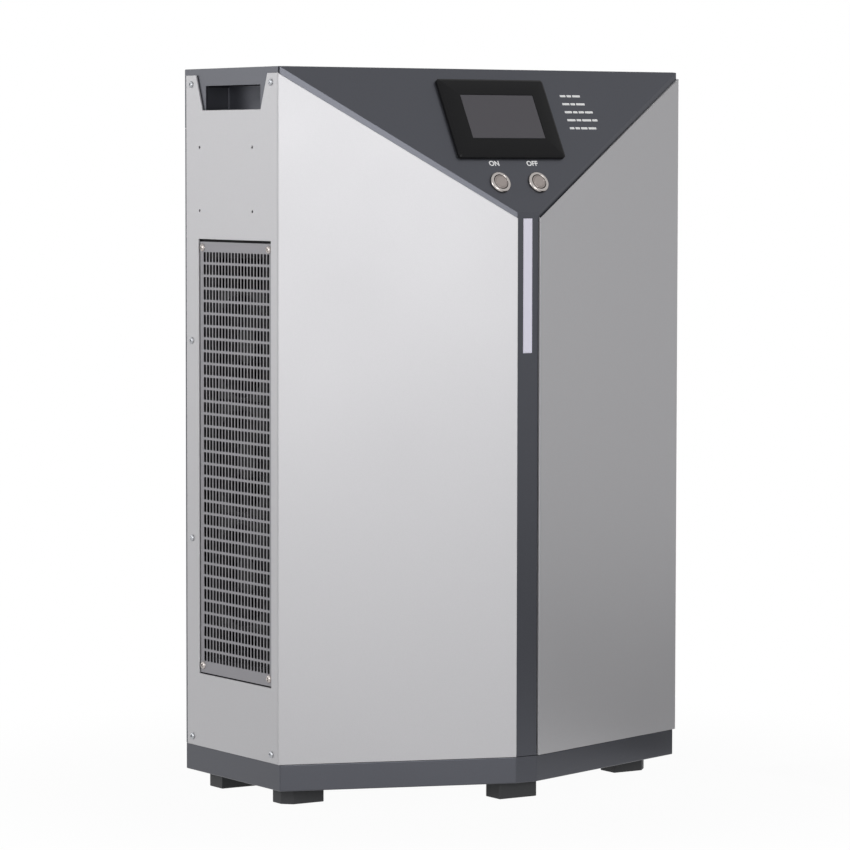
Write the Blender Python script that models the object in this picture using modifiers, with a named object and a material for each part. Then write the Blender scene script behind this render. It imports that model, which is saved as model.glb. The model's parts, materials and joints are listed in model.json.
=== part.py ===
# Floor-standing charger for forklift batteries, in metres, +Z up.
# The origin is on the floor under the middle of the overall box; the prow points along -Y.
import math

import bmesh
import bpy
from mathutils import Matrix, Vector

# Cabinet
CABINET_WIDTH = 0.530
CABINET_HEIGHT = 0.800
CABINET_DEPTH = 0.2915
PROW_DEPTH = 0.087
STRIP_WIDTH = 0.029
FOOT_HEIGHT = 0.019
PLINTH_HEIGHT = 0.029
CONTROL_SLOPE = math.radians(60.9)
SHEET = 0.002
FIT = 0.0003
PANEL_GAP = 0.0008
LIP_HEIGHT = 0.0068
RETURN_DEPTH = 0.010
STRIP_RETURN = 0.020

# Feet: distances back from the strip face
FOOT_LENGTH = 0.049
FOOT_DEPTH = 0.0275
FOOT_CHAMFER = 0.010
FOOT_EDGE = 0.019
FOOT_FRONT = 0.016
FOOT_CORNER = 0.107
FOOT_REAR = 0.2445

# Light strip
LIGHT_WIDTH = 0.0115
LIGHT_LENGTH = 0.1463
LIGHT_DROP = 0.1632
LIGHT_FLANGE = 0.003

# Side panels: distances back from the strip face, drops from the cabinet's top
SIDE_REAR_EDGE = 0.2848
EAR_DROP = 0.007
NOTCH_CENTRE = 0.186
NOTCH_DROP = 0.0457
NOTCH_BOTTOM_WIDTH = 0.126
NOTCH_TOP_WIDTH = 0.1545
OPENING_FRONT = 0.1016
OPENING_REAR = 0.258
OPENING_BOTTOM = 0.130
OPENING_DROP = 0.1873
HOLDER_CENTRE = 0.1977
HOLDER_DROP = 0.1212
HOLDER_WIDTH = 0.1145
HOLDER_RISE = 0.0695
HOLDER_HOLE = 0.00175

# Cap and handle pockets
SKIRT_HEIGHT = 0.065
CAP_LIP = 0.012
SKIRT_SETBACK = 0.003
CAP_CORNER = 0.005
GRIP_WIDTH = 0.118
GRIP_HEIGHT = 0.0265
GRIP_DROP = 0.0455
GRIP_DEPTH = 0.027
POCKET_WALL = 0.0015

# Rear panel
REAR_RETURN = 0.0275

# Grilles
GRILLE_SHEET = 0.0015
GRILLE_RECESS = 0.0015
GRILLE_GAP = 0.0015
GRILLE_TOP_GAP = 0.0029
SLOT_COLUMNS = 21
SLOT_ROWS = 8
SLOT_PITCH = 0.0067
SLOT_WIDTH = 0.0034
SLOT_WEB = 0.0026
SLOT_MARGIN = 0.01785
GRILLE_SCREW_SIDE = 0.0067
GRILLE_SCREW_END = 0.00935

# Screws
SCREW_HEAD = 0.0038
SCREW_HEAD_HEIGHT = 0.0022
SCREW_DOME = 0.00266
SCREW_DOME_HEIGHT = 0.00187
SCREW_SHANK = 0.002
SCREW_SIDES = 8
HOLE_SIDES = 8
SCREW_REAR_LINE = 0.2728
SCREW_FRONT_LINE = 0.1010
SCREW_DROP = 0.017
SCREW_UPPER = 0.500
SCREW_LOWER = 0.280
SCREW_BOTTOM = 0.058

# Control panel: distances down the slope from its top edge
SCREEN_WIDTH = 0.140
SCREEN_HEIGHT = 0.098
SCREEN_PROUD = 0.005
SCREEN_CENTRE = 0.064
SCREEN_CORNER = 0.004
ROUND_PROFILE = 0.5
SCREEN_CHAMFER = 0.0012
SCREEN_BODY_WIDTH = 0.130
SCREEN_BODY_HEIGHT = 0.088
SCREEN_BODY_DEPTH = 0.030
GLASS_WIDTH = 0.0953
GLASS_HEIGHT = 0.054
GLASS_THICKNESS = 0.0012
GLASS_ACROSS = 0.002
GLASS_UP = 0.0016
BUTTON_SPACING = 0.050
BUTTON_DOWN = 0.1425
BUTTON_RING = 0.0125
BUTTON_PROUD = 0.0032
BUTTON_BARREL = 0.0108
BUTTON_LENGTH = 0.024
BUTTON_CAP = 0.0080
BUTTON_CAP_LENGTH = 0.0085
BUTTON_CAP_PROUD = 0.0030
BUTTON_TRAVEL = 0.002
BUTTON_RUNNING = 0.0003
BUTTON_SIDES = 20

# Chassis
TUBE = 0.018
FRONT_POST = 0.097
RAIL_RISE = 0.020
FAN_BAR = 0.014
FAN_SETBACK = 0.006
BASE_RAIL_RISE = 0.024
MOUNT_PLATE_BOTTOM = 0.150
MOUNT_PLATE_DROP = 0.060

# Fans
FAN_SIZE = 0.120
FAN_PITCH = 0.126
FAN_DEPTH = 0.038
FAN_CORNER = 0.006
FAN_BORE = 0.0575
FAN_HUB = 0.020
FAN_HUB_LENGTH = 0.028
FAN_BASE = 0.004
FAN_STRUT = 0.005
FAN_STRUT_DEPTH = 0.002
HUB_SIDES = 12
FAN_TIP_GAP = 0.0015
FAN_SIDES = 24
FAN_BLADES = 7
BLADE_CHORD = 0.026
BLADE_THICKNESS = 0.0016
BLADE_PITCH = math.radians(38)
BLADE_TWIST = math.radians(14)

# Power modules and switchgear
MODULE_LENGTH = 0.300
MODULE_HEIGHT = 0.100
MODULE_DEPTH = 0.130
MODULE_PITCH = 0.110
MODULE_FIRST = 0.312
MODULE_BASE = 0.010
FIN_COUNT = 9
FIN_THICKNESS = 0.003
BOARD_WIDTH = 0.160
BOARD_HEIGHT = 0.090
BOARD_THICKNESS = 0.0016
BOARD_DROP = 0.130
STANDOFF = 0.008
STANDOFF_SIZE = 0.006
CONTACTOR_WIDTH = 0.060
CONTACTOR_HEIGHT = 0.080
CONTACTOR_DEPTH = 0.070
CONTACTOR_BASE = 0.042
CONTACTOR_HEAD = 0.040
CONTACTOR_CENTRE = 0.205
CONTACTOR_ACROSS = 0.100

# Cable glands
GLAND_HEIGHT = 0.100
GLAND_ACROSS = 0.150
GLAND_REACH = 0.026
GLAND_NUT = 0.010
GLAND_NECK = 0.008
GLAND_WALL = 0.004
MAINS_BORE = 0.0090
OUTPUT_BORE = 0.0130
GLAND_SIDES = 16

# Positions that follow from the sizes above
HALF_WIDTH = CABINET_WIDTH / 2
FRAME_HALF = HALF_WIDTH - SHEET - FIT
STRIP_HALF = STRIP_WIDTH / 2 - PANEL_GAP
PROW_TAN = PROW_DEPTH / (FRAME_HALF - STRIP_HALF)
PROW_COS = 1 / math.hypot(1, PROW_TAN)
PANEL_FRONT = (STRIP_WIDTH / 2 - STRIP_HALF) * PROW_TAN - (FIT + SHEET) / PROW_COS
STRIP_Y = -(CABINET_DEPTH + GLAND_REACH + PANEL_FRONT) / 2
PLINTH_TOP = FOOT_HEIGHT + PLINTH_HEIGHT
LIGHT_TOP = CABINET_HEIGHT - LIGHT_DROP
EAR_TOP = CABINET_HEIGHT - EAR_DROP
NOTCH_BOTTOM = CABINET_HEIGHT - NOTCH_DROP
OPENING_TOP = CABINET_HEIGHT - OPENING_DROP
HOLDER_HEIGHT = CABINET_HEIGHT - HOLDER_DROP
GRIP_BOTTOM = CABINET_HEIGHT - GRIP_DROP
SCREW_TOP = CABINET_HEIGHT - SCREW_DROP
MOUNT_PLATE_TOP = CABINET_HEIGHT - MOUNT_PLATE_DROP
BOARD_CENTRE = CABINET_HEIGHT - BOARD_DROP
SLOPE_SHEET = SHEET / math.cos(CONTROL_SLOPE)
SKIRT_BOTTOM = CABINET_HEIGHT - SKIRT_HEIGHT
OPENING_CENTRE = (OPENING_FRONT + OPENING_REAR) / 2
OPENING_MIDDLE = (OPENING_BOTTOM + OPENING_TOP) / 2
GRILLE_SCREW_WIDTH = OPENING_REAR - OPENING_FRONT - 2 * GRILLE_SCREW_SIDE
GRILLE_SCREW_RISE = OPENING_TOP - OPENING_BOTTOM - 2 * GRILLE_SCREW_END
SLOT_FIELD_HEIGHT = OPENING_TOP - OPENING_BOTTOM - 2 * SLOT_MARGIN
FAN_COUNT = int((GRILLE_SCREW_RISE - RAIL_RISE) / FAN_PITCH)
MODULE_SPACE = BOARD_CENTRE - BOARD_HEIGHT / 2 - MODULE_FIRST + MODULE_HEIGHT / 2
MODULE_COUNT = int(MODULE_SPACE / MODULE_PITCH)
GRILLE_INNER = HALF_WIDTH - GRILLE_RECESS - GRILLE_SHEET
RAIL_OUTER = GRILLE_INNER - FIT
POST_OUTER = FRAME_HALF - SHEET - FIT
FAN_FACE = RAIL_OUTER - FAN_SETBACK - FIT
REAR_INSIDE = CABINET_DEPTH - SHEET
PLATE_FRONT = REAR_INSIDE - FIT - TUBE - SHEET / 2
PAST = 0.01  # how far a cutter runs past what it cuts


def behind(distance):
    """World Y of a point that lies this far behind the strip's face."""
    return STRIP_Y + distance


def clear_scene():
    for item in list(bpy.data.objects):
        bpy.data.objects.remove(item, do_unlink=True)


def make_collection(name):
    collection = bpy.data.collections.new(name)
    bpy.context.scene.collection.children.link(collection)
    return collection


clear_scene()
PARTS = make_collection("battery_charger")
CUTTERS = make_collection("charger_cutters")


def make_material(name, colour, roughness, metallic=0.0):
    material = bpy.data.materials.new(name)
    material.use_nodes = True
    shader = material.node_tree.nodes["Principled BSDF"]
    shader.inputs["Base Color"].default_value = (*colour, 1.0)
    shader.inputs["Roughness"].default_value = roughness
    shader.inputs["Metallic"].default_value = metallic
    return material


GUNMETAL = make_material("gunmetal_paint", (0.075, 0.080, 0.092), 0.5)
SILVER = make_material("silver_paint", (0.62, 0.62, 0.62), 0.45, 0.3)
GRILLE_PAINT = make_material("grille_paint", (0.30, 0.29, 0.31), 0.5)
ZINC = make_material("zinc_plate", (0.55, 0.56, 0.58), 0.4, 1.0)
NICKEL = make_material("nickel_plate", (0.75, 0.70, 0.64), 0.3, 1.0)
BLACK_PLASTIC = make_material("black_plastic", (0.015, 0.015, 0.017), 0.45)
RUBBER = make_material("foot_rubber", (0.03, 0.03, 0.033), 0.8)
OPAL = make_material("opal_diffuser", (0.72, 0.71, 0.76), 0.4)
GLASS = make_material("screen_glass", (0.10, 0.10, 0.115), 0.15)
BOARD_GREEN = make_material("board_green", (0.02, 0.12, 0.05), 0.5)
ALUMINIUM = make_material("heat_sink_aluminium", (0.60, 0.60, 0.61), 0.4, 1.0)


def add_mesh(name, mesh, material=None):
    """Link a finished piece, or a cutter where it has no material."""
    piece = bpy.data.objects.new(name, mesh)
    if material:
        mesh.materials.append(material)
        PARTS.objects.link(piece)
    else:
        CUTTERS.objects.link(piece)
        piece.hide_render = True
        piece.display_type = "WIRE"
    return piece


def box(name, low, high, material=None, centred=True):
    """Box between two corners, with its origin in its middle or at the cabinet's origin."""
    origin = (Vector(low) + Vector(high)) / 2 if centred else Vector()
    shape = bmesh.new()
    for vert in bmesh.ops.create_cube(shape, size=1.0)["verts"]:
        corner = [high[axis] if vert.co[axis] > 0 else low[axis] for axis in range(3)]
        vert.co = Vector(corner) - origin
    mesh = bpy.data.meshes.new(name)
    shape.to_mesh(mesh)
    shape.free()
    piece = add_mesh(name, mesh, material)
    piece.location = origin
    return piece


FACING = {
    "x": Matrix(((0, 0, 1, 0), (1, 0, 0, 0), (0, 1, 0, 0), (0, 0, 0, 1))),
    "y": Matrix(((1, 0, 0, 0), (0, 0, -1, 0), (0, 1, 0, 0), (0, 0, 0, 1))),
    "z": Matrix.Identity(4),
}


def plate(name, loops, facing, near, far, material=None):
    """Flat outline with its holes, extruded from near to far along the axis that it faces."""
    curve = bpy.data.curves.new(name, "CURVE")
    curve.dimensions = "2D"
    curve.fill_mode = "BOTH"
    curve.extrude = abs(far - near) / 2
    for loop in loops:
        spline = curve.splines.new("POLY")
        spline.points.add(len(loop) - 1)
        for point, (across, up) in zip(spline.points, loop):
            point.co = (across, up, 0, 1)
        spline.use_cyclic_u = True
    guide = bpy.data.objects.new(name, curve)
    CUTTERS.objects.link(guide)
    seen = guide.evaluated_get(bpy.context.evaluated_depsgraph_get())
    mesh = bpy.data.meshes.new_from_object(seen)
    bpy.data.objects.remove(guide, do_unlink=True)
    bpy.data.curves.remove(curve)
    shape = bmesh.new()
    shape.from_mesh(mesh)
    bmesh.ops.remove_doubles(shape, verts=shape.verts, dist=1e-6)
    bmesh.ops.recalc_face_normals(shape, faces=shape.faces)
    shape.to_mesh(mesh)
    shape.free()
    mesh.name = name
    piece = add_mesh(name, mesh, material)
    middle = (near + far) / 2
    shift = {"x": (middle, 0, 0), "y": (0, middle, 0), "z": (0, 0, middle)}[facing]
    piece.matrix_world = Matrix.Translation(shift) @ FACING[facing]
    return piece


def turned(name, profile, sides, material=None):
    """Profile of (radius, height) points, top to bottom on its outer side, turned round local Z."""
    mesh = bpy.data.meshes.new(name)
    shape = bmesh.new()
    points = [shape.verts.new((radius, 0, height)) for radius, height in profile]
    for start, end in zip(points, points[1:]):
        shape.edges.new((start, end))
    if profile[0][0] > 0:
        shape.edges.new((points[-1], points[0]))
    shape.to_mesh(mesh)
    shape.free()
    piece = add_mesh(name, mesh, material)
    screw = piece.modifiers.new("turn", "SCREW")
    screw.axis = "Z"
    screw.angle = math.tau
    screw.steps = sides
    screw.render_steps = sides
    screw.use_merge_vertices = True
    screw.merge_threshold = 1e-5
    screw.use_smooth_shade = False
    return piece


def cut(piece, cutter):
    change = piece.modifiers.new(f"cut_{cutter.name}", "BOOLEAN")
    change.operation = "DIFFERENCE"
    change.solver = "EXACT"
    change.object = cutter


def weld(piece, other):
    change = piece.modifiers.new(f"weld_{other.name}", "BOOLEAN")
    change.operation = "UNION"
    change.solver = "EXACT"
    change.object = other


def settled_mesh(piece, used=()):
    """Mesh of a piece with its modifiers applied; the piece and what it used are removed."""
    bpy.context.view_layer.update()
    seen = piece.evaluated_get(bpy.context.evaluated_depsgraph_get())
    mesh = bpy.data.meshes.new_from_object(seen)
    mesh.materials.clear()
    for item in (piece, *used):
        bpy.data.objects.remove(item, do_unlink=True)
    return mesh


def circle(centre, radius, sides, turn=0.5):
    return [
        (
            centre[0] + radius * math.cos(math.tau * (step + turn) / sides),
            centre[1] + radius * math.sin(math.tau * (step + turn) / sides),
        )
        for step in range(sides)
    ]


def clearance_hole(centre, radius, sides):
    """Outline whose flats clear a round piece of this radius."""
    return circle(centre, (radius + FIT) / math.cos(math.pi / sides), sides)


def rectangle(low, high):
    return [(low[0], low[1]), (high[0], low[1]), (high[0], high[1]), (low[0], high[1])]


def inset(outline, distance):
    """Counter-clockwise convex outline moved inwards by a distance."""
    count = len(outline)
    lines = []
    for step in range(count):
        start, end = Vector(outline[step]), Vector(outline[(step + 1) % count])
        along = (end - start).normalized()
        inward = Vector((-along.y, along.x))
        lines.append((start + inward * distance, along))
    points = []
    for step in range(count):
        (one, along), (two, beyond) = lines[step - 1], lines[step]
        cross = along.x * beyond.y - along.y * beyond.x
        gap = two - one
        points.append(tuple(one + along * ((gap.x * beyond.y - gap.y * beyond.x) / cross)))
    return points


def round_off(piece):
    piece.data.shade_smooth()
    piece.data.set_sharp_from_angle(angle=math.radians(35))


def frame_outline():
    """Plan of the plinth: narrow nose, two slanted fronts, two sides and a back."""
    return [
        (-STRIP_HALF, behind(0)),
        (STRIP_HALF, behind(0)),
        (FRAME_HALF, behind(PROW_DEPTH)),
        (FRAME_HALF, behind(CABINET_DEPTH)),
        (-FRAME_HALF, behind(CABINET_DEPTH)),
        (-FRAME_HALF, behind(PROW_DEPTH)),
    ]


def mirrored(outline, side):
    return [(side * across, up) for across, up in outline]


# The slope's own frame: X across, Y up the slope, Z out of it, from the middle of its top edge.
slope = bpy.data.objects.new("slope_frame", None)
PARTS.objects.link(slope)
slope.location = (0, behind(PROW_DEPTH), CABINET_HEIGHT)
slope.rotation_euler = (CONTROL_SLOPE, 0, 0)


def on_slope(piece, across=0.0, down=0.0, out=0.0):
    piece.parent = slope
    piece.location = (across, -down, out)


def slope_block(name, drop, above):
    """Block that ends on the slope's plane, lowered by a vertical drop."""
    level = -drop * math.cos(CONTROL_SLOPE)
    reach = CABINET_HEIGHT
    low, high = (level, level + reach) if above else (level - reach, level)
    block = box(name, (-reach, -reach, low), (reach, reach, high))
    block.parent = slope
    return block


def build_base():
    outline = frame_outline()
    tray = plate("base_tray", [outline], "z", FOOT_HEIGHT, PLINTH_TOP, GUNMETAL)
    hollow = plate("tray_hollow", [inset(outline, SHEET)], "z", FOOT_HEIGHT + SHEET, PLINTH_TOP + PAST)
    cut(tray, hollow)
    side = FRAME_HALF - FOOT_EDGE - FOOT_LENGTH / 2
    for name, across, front, chamfer in (
        ("foot_front_centre", 0, FOOT_FRONT, 0),
        ("foot_front_left", -side, FOOT_CORNER, FOOT_CHAMFER),
        ("foot_front_right", side, FOOT_CORNER, FOOT_CHAMFER),
        ("foot_rear_left", -side, FOOT_REAR, 0),
        ("foot_rear_right", side, FOOT_REAR, 0),
    ):
        plate(name, [foot_outline(across, front, chamfer)], "z", 0, FOOT_HEIGHT - FIT, RUBBER)


def foot_outline(across, front, chamfer):
    """Block foot, with its outer front corner cut back where it has a chamfer."""
    half = FOOT_LENGTH / 2
    outline = [(-half, 0), (-half, FOOT_DEPTH), (half, FOOT_DEPTH)]
    outline += [(half, chamfer), (half - chamfer, 0)] if chamfer else [(half, 0)]
    side = 1 if across > 0 else -1
    return [(across + side * place, behind(front + depth)) for place, depth in outline]


def build_fascia():
    """Sloped control panel folded down into the narrow front strip."""
    trapezoid = [
        (-STRIP_HALF, behind(0)),
        (STRIP_HALF, behind(0)),
        (FRAME_HALF, behind(PROW_DEPTH)),
        (-FRAME_HALF, behind(PROW_DEPTH)),
    ]
    inner = inset(trapezoid, SHEET)
    web, back = STRIP_HALF - SHEET, behind(STRIP_RETURN)
    meet = inner[1][1] + (STRIP_HALF - inner[1][0]) * PROW_TAN
    right = [(web, behind(SHEET)), (web, back), (STRIP_HALF, back), (STRIP_HALF, meet), inner[2]]
    left = [(-across, depth) for across, depth in reversed(right)]
    bottom = PLINTH_TOP + FIT
    fascia = plate("front_fascia", [trapezoid], "z", bottom, CABINET_HEIGHT, GUNMETAL)
    hollow = plate("fascia_hollow", [right + left], "z", bottom - PAST, CABINET_HEIGHT + PAST)
    cut(hollow, slope_block("hollow_top", SLOPE_SHEET, True))
    below_lip = slope_block("below_lip", LIP_HEIGHT, False)
    high = (STRIP_HALF, back + SHEET, CABINET_HEIGHT)
    cut(below_lip, box("strip_kept", (-STRIP_HALF, behind(-PAST), 0), high))
    cut(fascia, slope_block("slope_top", 0, True))
    cut(fascia, below_lip)
    cut(fascia, hollow)
    half = LIGHT_WIDTH / 2 + FIT
    low = (-half, behind(-PAST), LIGHT_TOP - LIGHT_LENGTH - FIT)
    high = (half, behind(SHEET + PAST / 2), LIGHT_TOP + FIT)
    cut(fascia, box("light_slot", low, high))
    width, height = SCREEN_BODY_WIDTH / 2 + FIT, SCREEN_BODY_HEIGHT / 2 + FIT
    window = box("screen_cut_out", (-width, -height, -PAST), (width, height, PAST))
    on_slope(window, 0, SCREEN_CENTRE)
    cut(fascia, window)
    for name, side in (("start", -1), ("stop", 1)):
        ring = clearance_hole((0, 0), BUTTON_BARREL, BUTTON_SIDES)
        hole = plate(f"{name}_hole", [ring], "z", -PAST, PAST)
        on_slope(hole, side * BUTTON_SPACING / 2, BUTTON_DOWN)
        cut(fascia, hole)


def build_light():
    half = LIGHT_WIDTH / 2
    low, high = LIGHT_TOP - LIGHT_LENGTH, LIGHT_TOP
    seat = behind(SHEET + FIT)
    light = box("light_strip", (-half, behind(0), low), (half, seat + LIGHT_FLANGE, high), OPAL)
    rim = STRIP_HALF - SHEET - FIT
    flange = box("light_flange", (-rim, seat, low - LIGHT_FLANGE), (rim, seat + LIGHT_FLANGE, high))
    weld(light, flange)


def panel_section():
    """Plan of the right front panel: a sheet with a return at each end."""
    def inner(across):
        return (across - STRIP_HALF) * PROW_TAN - FIT / PROW_COS

    def outer(across):
        return (across - STRIP_HALF) * PROW_TAN - (FIT + SHEET) / PROW_COS

    edge = STRIP_WIDTH / 2
    corner = FRAME_HALF
    return [
        (edge, behind(outer(edge))),
        (HALF_WIDTH, behind(outer(HALF_WIDTH))),
        (HALF_WIDTH, behind(inner(HALF_WIDTH))),
        (corner, behind(inner(corner))),
        (corner, behind(PROW_DEPTH + RETURN_DEPTH)),
        (corner - SHEET, behind(PROW_DEPTH + RETURN_DEPTH)),
        (corner - SHEET, behind(inner(corner - SHEET))),
        (edge + SHEET, behind(inner(edge + SHEET))),
        (edge + SHEET, behind(RETURN_DEPTH)),
        (edge, behind(RETURN_DEPTH)),
    ]


def build_front_panels():
    drop = LIP_HEIGHT + PANEL_GAP
    block = slope_block("panel_top", drop, True)
    for name, side in (("left", -1), ("right", 1)):
        outline = mirrored(panel_section(), side)
        bottom = PLINTH_TOP + FIT
        panel = plate(f"front_panel_{name}", [outline], "z", bottom, CABINET_HEIGHT - drop, SILVER)
        cut(panel, block)
        ends = sorted((side * (FRAME_HALF - SHEET - FIT), side * (FRAME_HALF + FIT)))
        low = (ends[0], behind(PROW_DEPTH + SHEET), SKIRT_BOTTOM - FIT)
        high = (ends[1], behind(PROW_DEPTH + RETURN_DEPTH + PAST), CABINET_HEIGHT)
        cut(panel, box(f"panel_notch_{name}", low, high))


def side_outline():
    front = (HALF_WIDTH - STRIP_HALF) * PROW_TAN
    return [
        (behind(front), PLINTH_TOP + FIT),
        (behind(SIDE_REAR_EDGE), PLINTH_TOP + FIT),
        (behind(SIDE_REAR_EDGE), EAR_TOP),
        (behind(NOTCH_CENTRE + NOTCH_TOP_WIDTH / 2), EAR_TOP),
        (behind(NOTCH_CENTRE + NOTCH_BOTTOM_WIDTH / 2), NOTCH_BOTTOM),
        (behind(NOTCH_CENTRE - NOTCH_BOTTOM_WIDTH / 2), NOTCH_BOTTOM),
        (behind(NOTCH_CENTRE - NOTCH_TOP_WIDTH / 2), EAR_TOP),
        (behind(front), EAR_TOP),
    ]


def side_screw_places():
    rear = [(SCREW_REAR_LINE, height) for height in (SCREW_TOP, SCREW_UPPER, SCREW_LOWER, SCREW_BOTTOM)]
    return rear + [(SCREW_FRONT_LINE, height) for height in (SCREW_TOP, SCREW_BOTTOM)]


def grille_screw_places():
    return [
        (OPENING_CENTRE + across * GRILLE_SCREW_WIDTH / 2, OPENING_MIDDLE + up * GRILLE_SCREW_RISE / 2)
        for up in (1, -1)
        for across in (-1, 1)
    ]


def drill(piece, spots, inner, outer):
    """Screw holes through the left and right sides of a piece, between two distances from its middle."""
    loops = [clearance_hole((behind(place), height), SCREW_SHANK, HOLE_SIDES) for place, height in spots]
    for name, side in (("left", -1), ("right", 1)):
        near, far = sorted((side * inner, side * outer))
        cut(piece, plate(f"{piece.name}_holes_{name}_{len(spots)}", loops, "x", near, far))


def build_side_panels():
    loops = [side_outline()]
    loops.append(rectangle((behind(OPENING_FRONT), OPENING_BOTTOM), (behind(OPENING_REAR), OPENING_TOP)))
    spots = side_screw_places()
    loops += [clearance_hole((behind(place), height), SCREW_SHANK, HOLE_SIDES) for place, height in spots]
    for across in (-1, 1):
        for up in (-1, 1):
            place = behind(HOLDER_CENTRE + across * HOLDER_WIDTH / 2)
            height = HOLDER_HEIGHT + up * HOLDER_RISE / 2
            loops.append(circle((place, height), HOLDER_HOLE, HOLE_SIDES))
    for name, side in (("left", -1), ("right", 1)):
        near, far = sorted((side * (HALF_WIDTH - SHEET), side * HALF_WIDTH))
        plate(f"side_panel_{name}", loops, "x", near, far, SILVER)


def build_grilles():
    """Punched plate with rows of upright slots, set back in the side panel's opening."""
    low = (behind(OPENING_FRONT + GRILLE_GAP), OPENING_BOTTOM + GRILLE_GAP)
    high = (behind(OPENING_REAR - GRILLE_GAP), OPENING_TOP - GRILLE_TOP_GAP)
    loops = [rectangle(low, high)]
    row_pitch = (SLOT_FIELD_HEIGHT + SLOT_WEB) / SLOT_ROWS
    slot_height = row_pitch - SLOT_WEB
    for column in range(SLOT_COLUMNS):
        across = behind(OPENING_CENTRE + (column - (SLOT_COLUMNS - 1) / 2) * SLOT_PITCH)
        for row in range(SLOT_ROWS):
            up = OPENING_MIDDLE + (row - (SLOT_ROWS - 1) / 2) * row_pitch
            corner = (across - SLOT_WIDTH / 2, up - slot_height / 2)
            loops.append(rectangle(corner, (corner[0] + SLOT_WIDTH, corner[1] + slot_height)))
    spots = grille_screw_places()
    loops += [clearance_hole((behind(place), height), SCREW_SHANK, HOLE_SIDES) for place, height in spots]
    for name, side in (("left", -1), ("right", 1)):
        near, far = sorted((side * GRILLE_INNER, side * (GRILLE_INNER + GRILLE_SHEET)))
        plate(f"grille_{name}", loops, "x", near, far, GRILLE_PAINT)


def build_screws():
    head, shank = SCREW_HEAD, SCREW_SHANK
    grip = 2 * SHEET + FIT
    profile = [(0, SCREW_HEAD_HEIGHT), (SCREW_DOME, SCREW_DOME_HEIGHT), (head, FIT)]
    profile += [(shank, FIT), (shank, -grip), (0, -grip)]
    mesh = settled_mesh(turned("screw_blank", profile, SCREW_SIDES))
    for kind, spots, seat, material in (
        ("side_screw", side_screw_places(), HALF_WIDTH, ZINC),
        ("grille_screw", grille_screw_places(), GRILLE_INNER + GRILLE_SHEET, NICKEL),
    ):
        blank = mesh.copy()
        blank.materials.append(material)
        for name, side in (("left", -1), ("right", 1)):
            for number, (place, height) in enumerate(spots, 1):
                piece = bpy.data.objects.new(f"{kind}_{name}_{number}", blank)
                PARTS.objects.link(piece)
                piece.rotation_euler = (0, side * math.pi / 2, 0)
                piece.location = (side * seat, behind(place), height)


def build_cap():
    front, rear = behind(PROW_DEPTH + FIT), behind(CABINET_DEPTH)
    top, bottom, wide = CABINET_HEIGHT, SKIRT_BOTTOM, FRAME_HALF
    cap = box("top_cap", (-wide, front, bottom), (wide, rear, top), GUNMETAL)
    inner = wide - SHEET
    cut(cap, box("cap_hollow", (-inner, front + SHEET, bottom - PAST), (inner, rear - SHEET, top - SHEET)))
    lip = top - CAP_LIP
    setback = behind(PROW_DEPTH + SKIRT_SETBACK)
    cut(cap, box("cap_front", (-wide - PAST, front - PAST, bottom - PAST), (wide + PAST, setback, lip)))
    cut(cap, box("cap_rear", (-inner, rear - SHEET - PAST, bottom - PAST), (inner, rear + PAST, lip)))
    low, high = GRIP_BOTTOM, GRIP_BOTTOM + GRIP_HEIGHT
    start, end = behind(NOTCH_CENTRE - GRIP_WIDTH / 2), behind(NOTCH_CENTRE + GRIP_WIDTH / 2)
    cut(cap, box("grip_slots", (-wide - PAST, start, low), (wide + PAST, end, high)))
    for name, side in (("left", -1), ("right", 1)):
        ends = sorted((side * (wide - CAP_CORNER), side * (wide + PAST)))
        low = (ends[0], front - PAST, lip - PAST)
        cut(cap, box(f"cap_corner_{name}", low, (ends[1], setback, top + PAST)))
    spots = [spot for spot in side_screw_places() if spot[1] > bottom]
    drill(cap, spots, inner - PAST, wide + PAST)


def build_grips():
    """Folded hand pocket behind each slot of the cap's skirt."""
    low, high = GRIP_BOTTOM, GRIP_BOTTOM + GRIP_HEIGHT
    start, end = behind(NOTCH_CENTRE - GRIP_WIDTH / 2), behind(NOTCH_CENTRE + GRIP_WIDTH / 2)
    wall = POCKET_WALL
    mouth = FRAME_HALF - SHEET - FIT
    floor = mouth - GRIP_DEPTH
    for name, side in (("left", -1), ("right", 1)):
        ends = sorted((side * mouth, side * (floor - wall)))
        corner = (ends[0], start - wall, low - wall)
        pocket = box(f"handle_pocket_{name}", corner, (ends[1], end + wall, high + wall), GUNMETAL)
        ends = sorted((side * (mouth + PAST), side * floor))
        cut(pocket, box(f"pocket_hollow_{name}", (ends[0], start, low), (ends[1], end, high)))


def gland_places():
    return (("mains_gland", -GLAND_ACROSS, MAINS_BORE), ("output_gland", GLAND_ACROSS, OUTPUT_BORE))


def build_rear():
    wide, inner = FRAME_HALF, FRAME_HALF - SHEET
    front, rear = behind(CABINET_DEPTH - REAR_RETURN), behind(CABINET_DEPTH)
    section = [(-wide, front), (-inner, front), (-inner, rear - SHEET), (inner, rear - SHEET)]
    section += [(inner, front), (wide, front), (wide, rear), (-wide, rear)]
    bottom, top = PLINTH_TOP + FIT, CABINET_HEIGHT - CAP_LIP - FIT
    panel = plate("rear_panel", [section], "z", bottom, top, GUNMETAL)
    level = SKIRT_BOTTOM - FIT
    for name, side in (("left", -1), ("right", 1)):
        ends = sorted((side * (inner - FIT), side * (wide + PAST)))
        low = (ends[0], front - PAST, level)
        cut(panel, box(f"rear_notch_{name}", low, (ends[1], rear + PAST, top + PAST)))
    for name, across, bore in gland_places():
        hole = clearance_hole((across, GLAND_HEIGHT), bore + GLAND_WALL, GLAND_SIDES)
        cut(panel, plate(f"{name}_hole", [hole], "y", rear - PAST, rear + PAST))
    spots = [spot for spot in side_screw_places() if spot[0] > SCREW_FRONT_LINE and spot[1] < level]
    drill(panel, spots, inner - PAST, wide + PAST)


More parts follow.
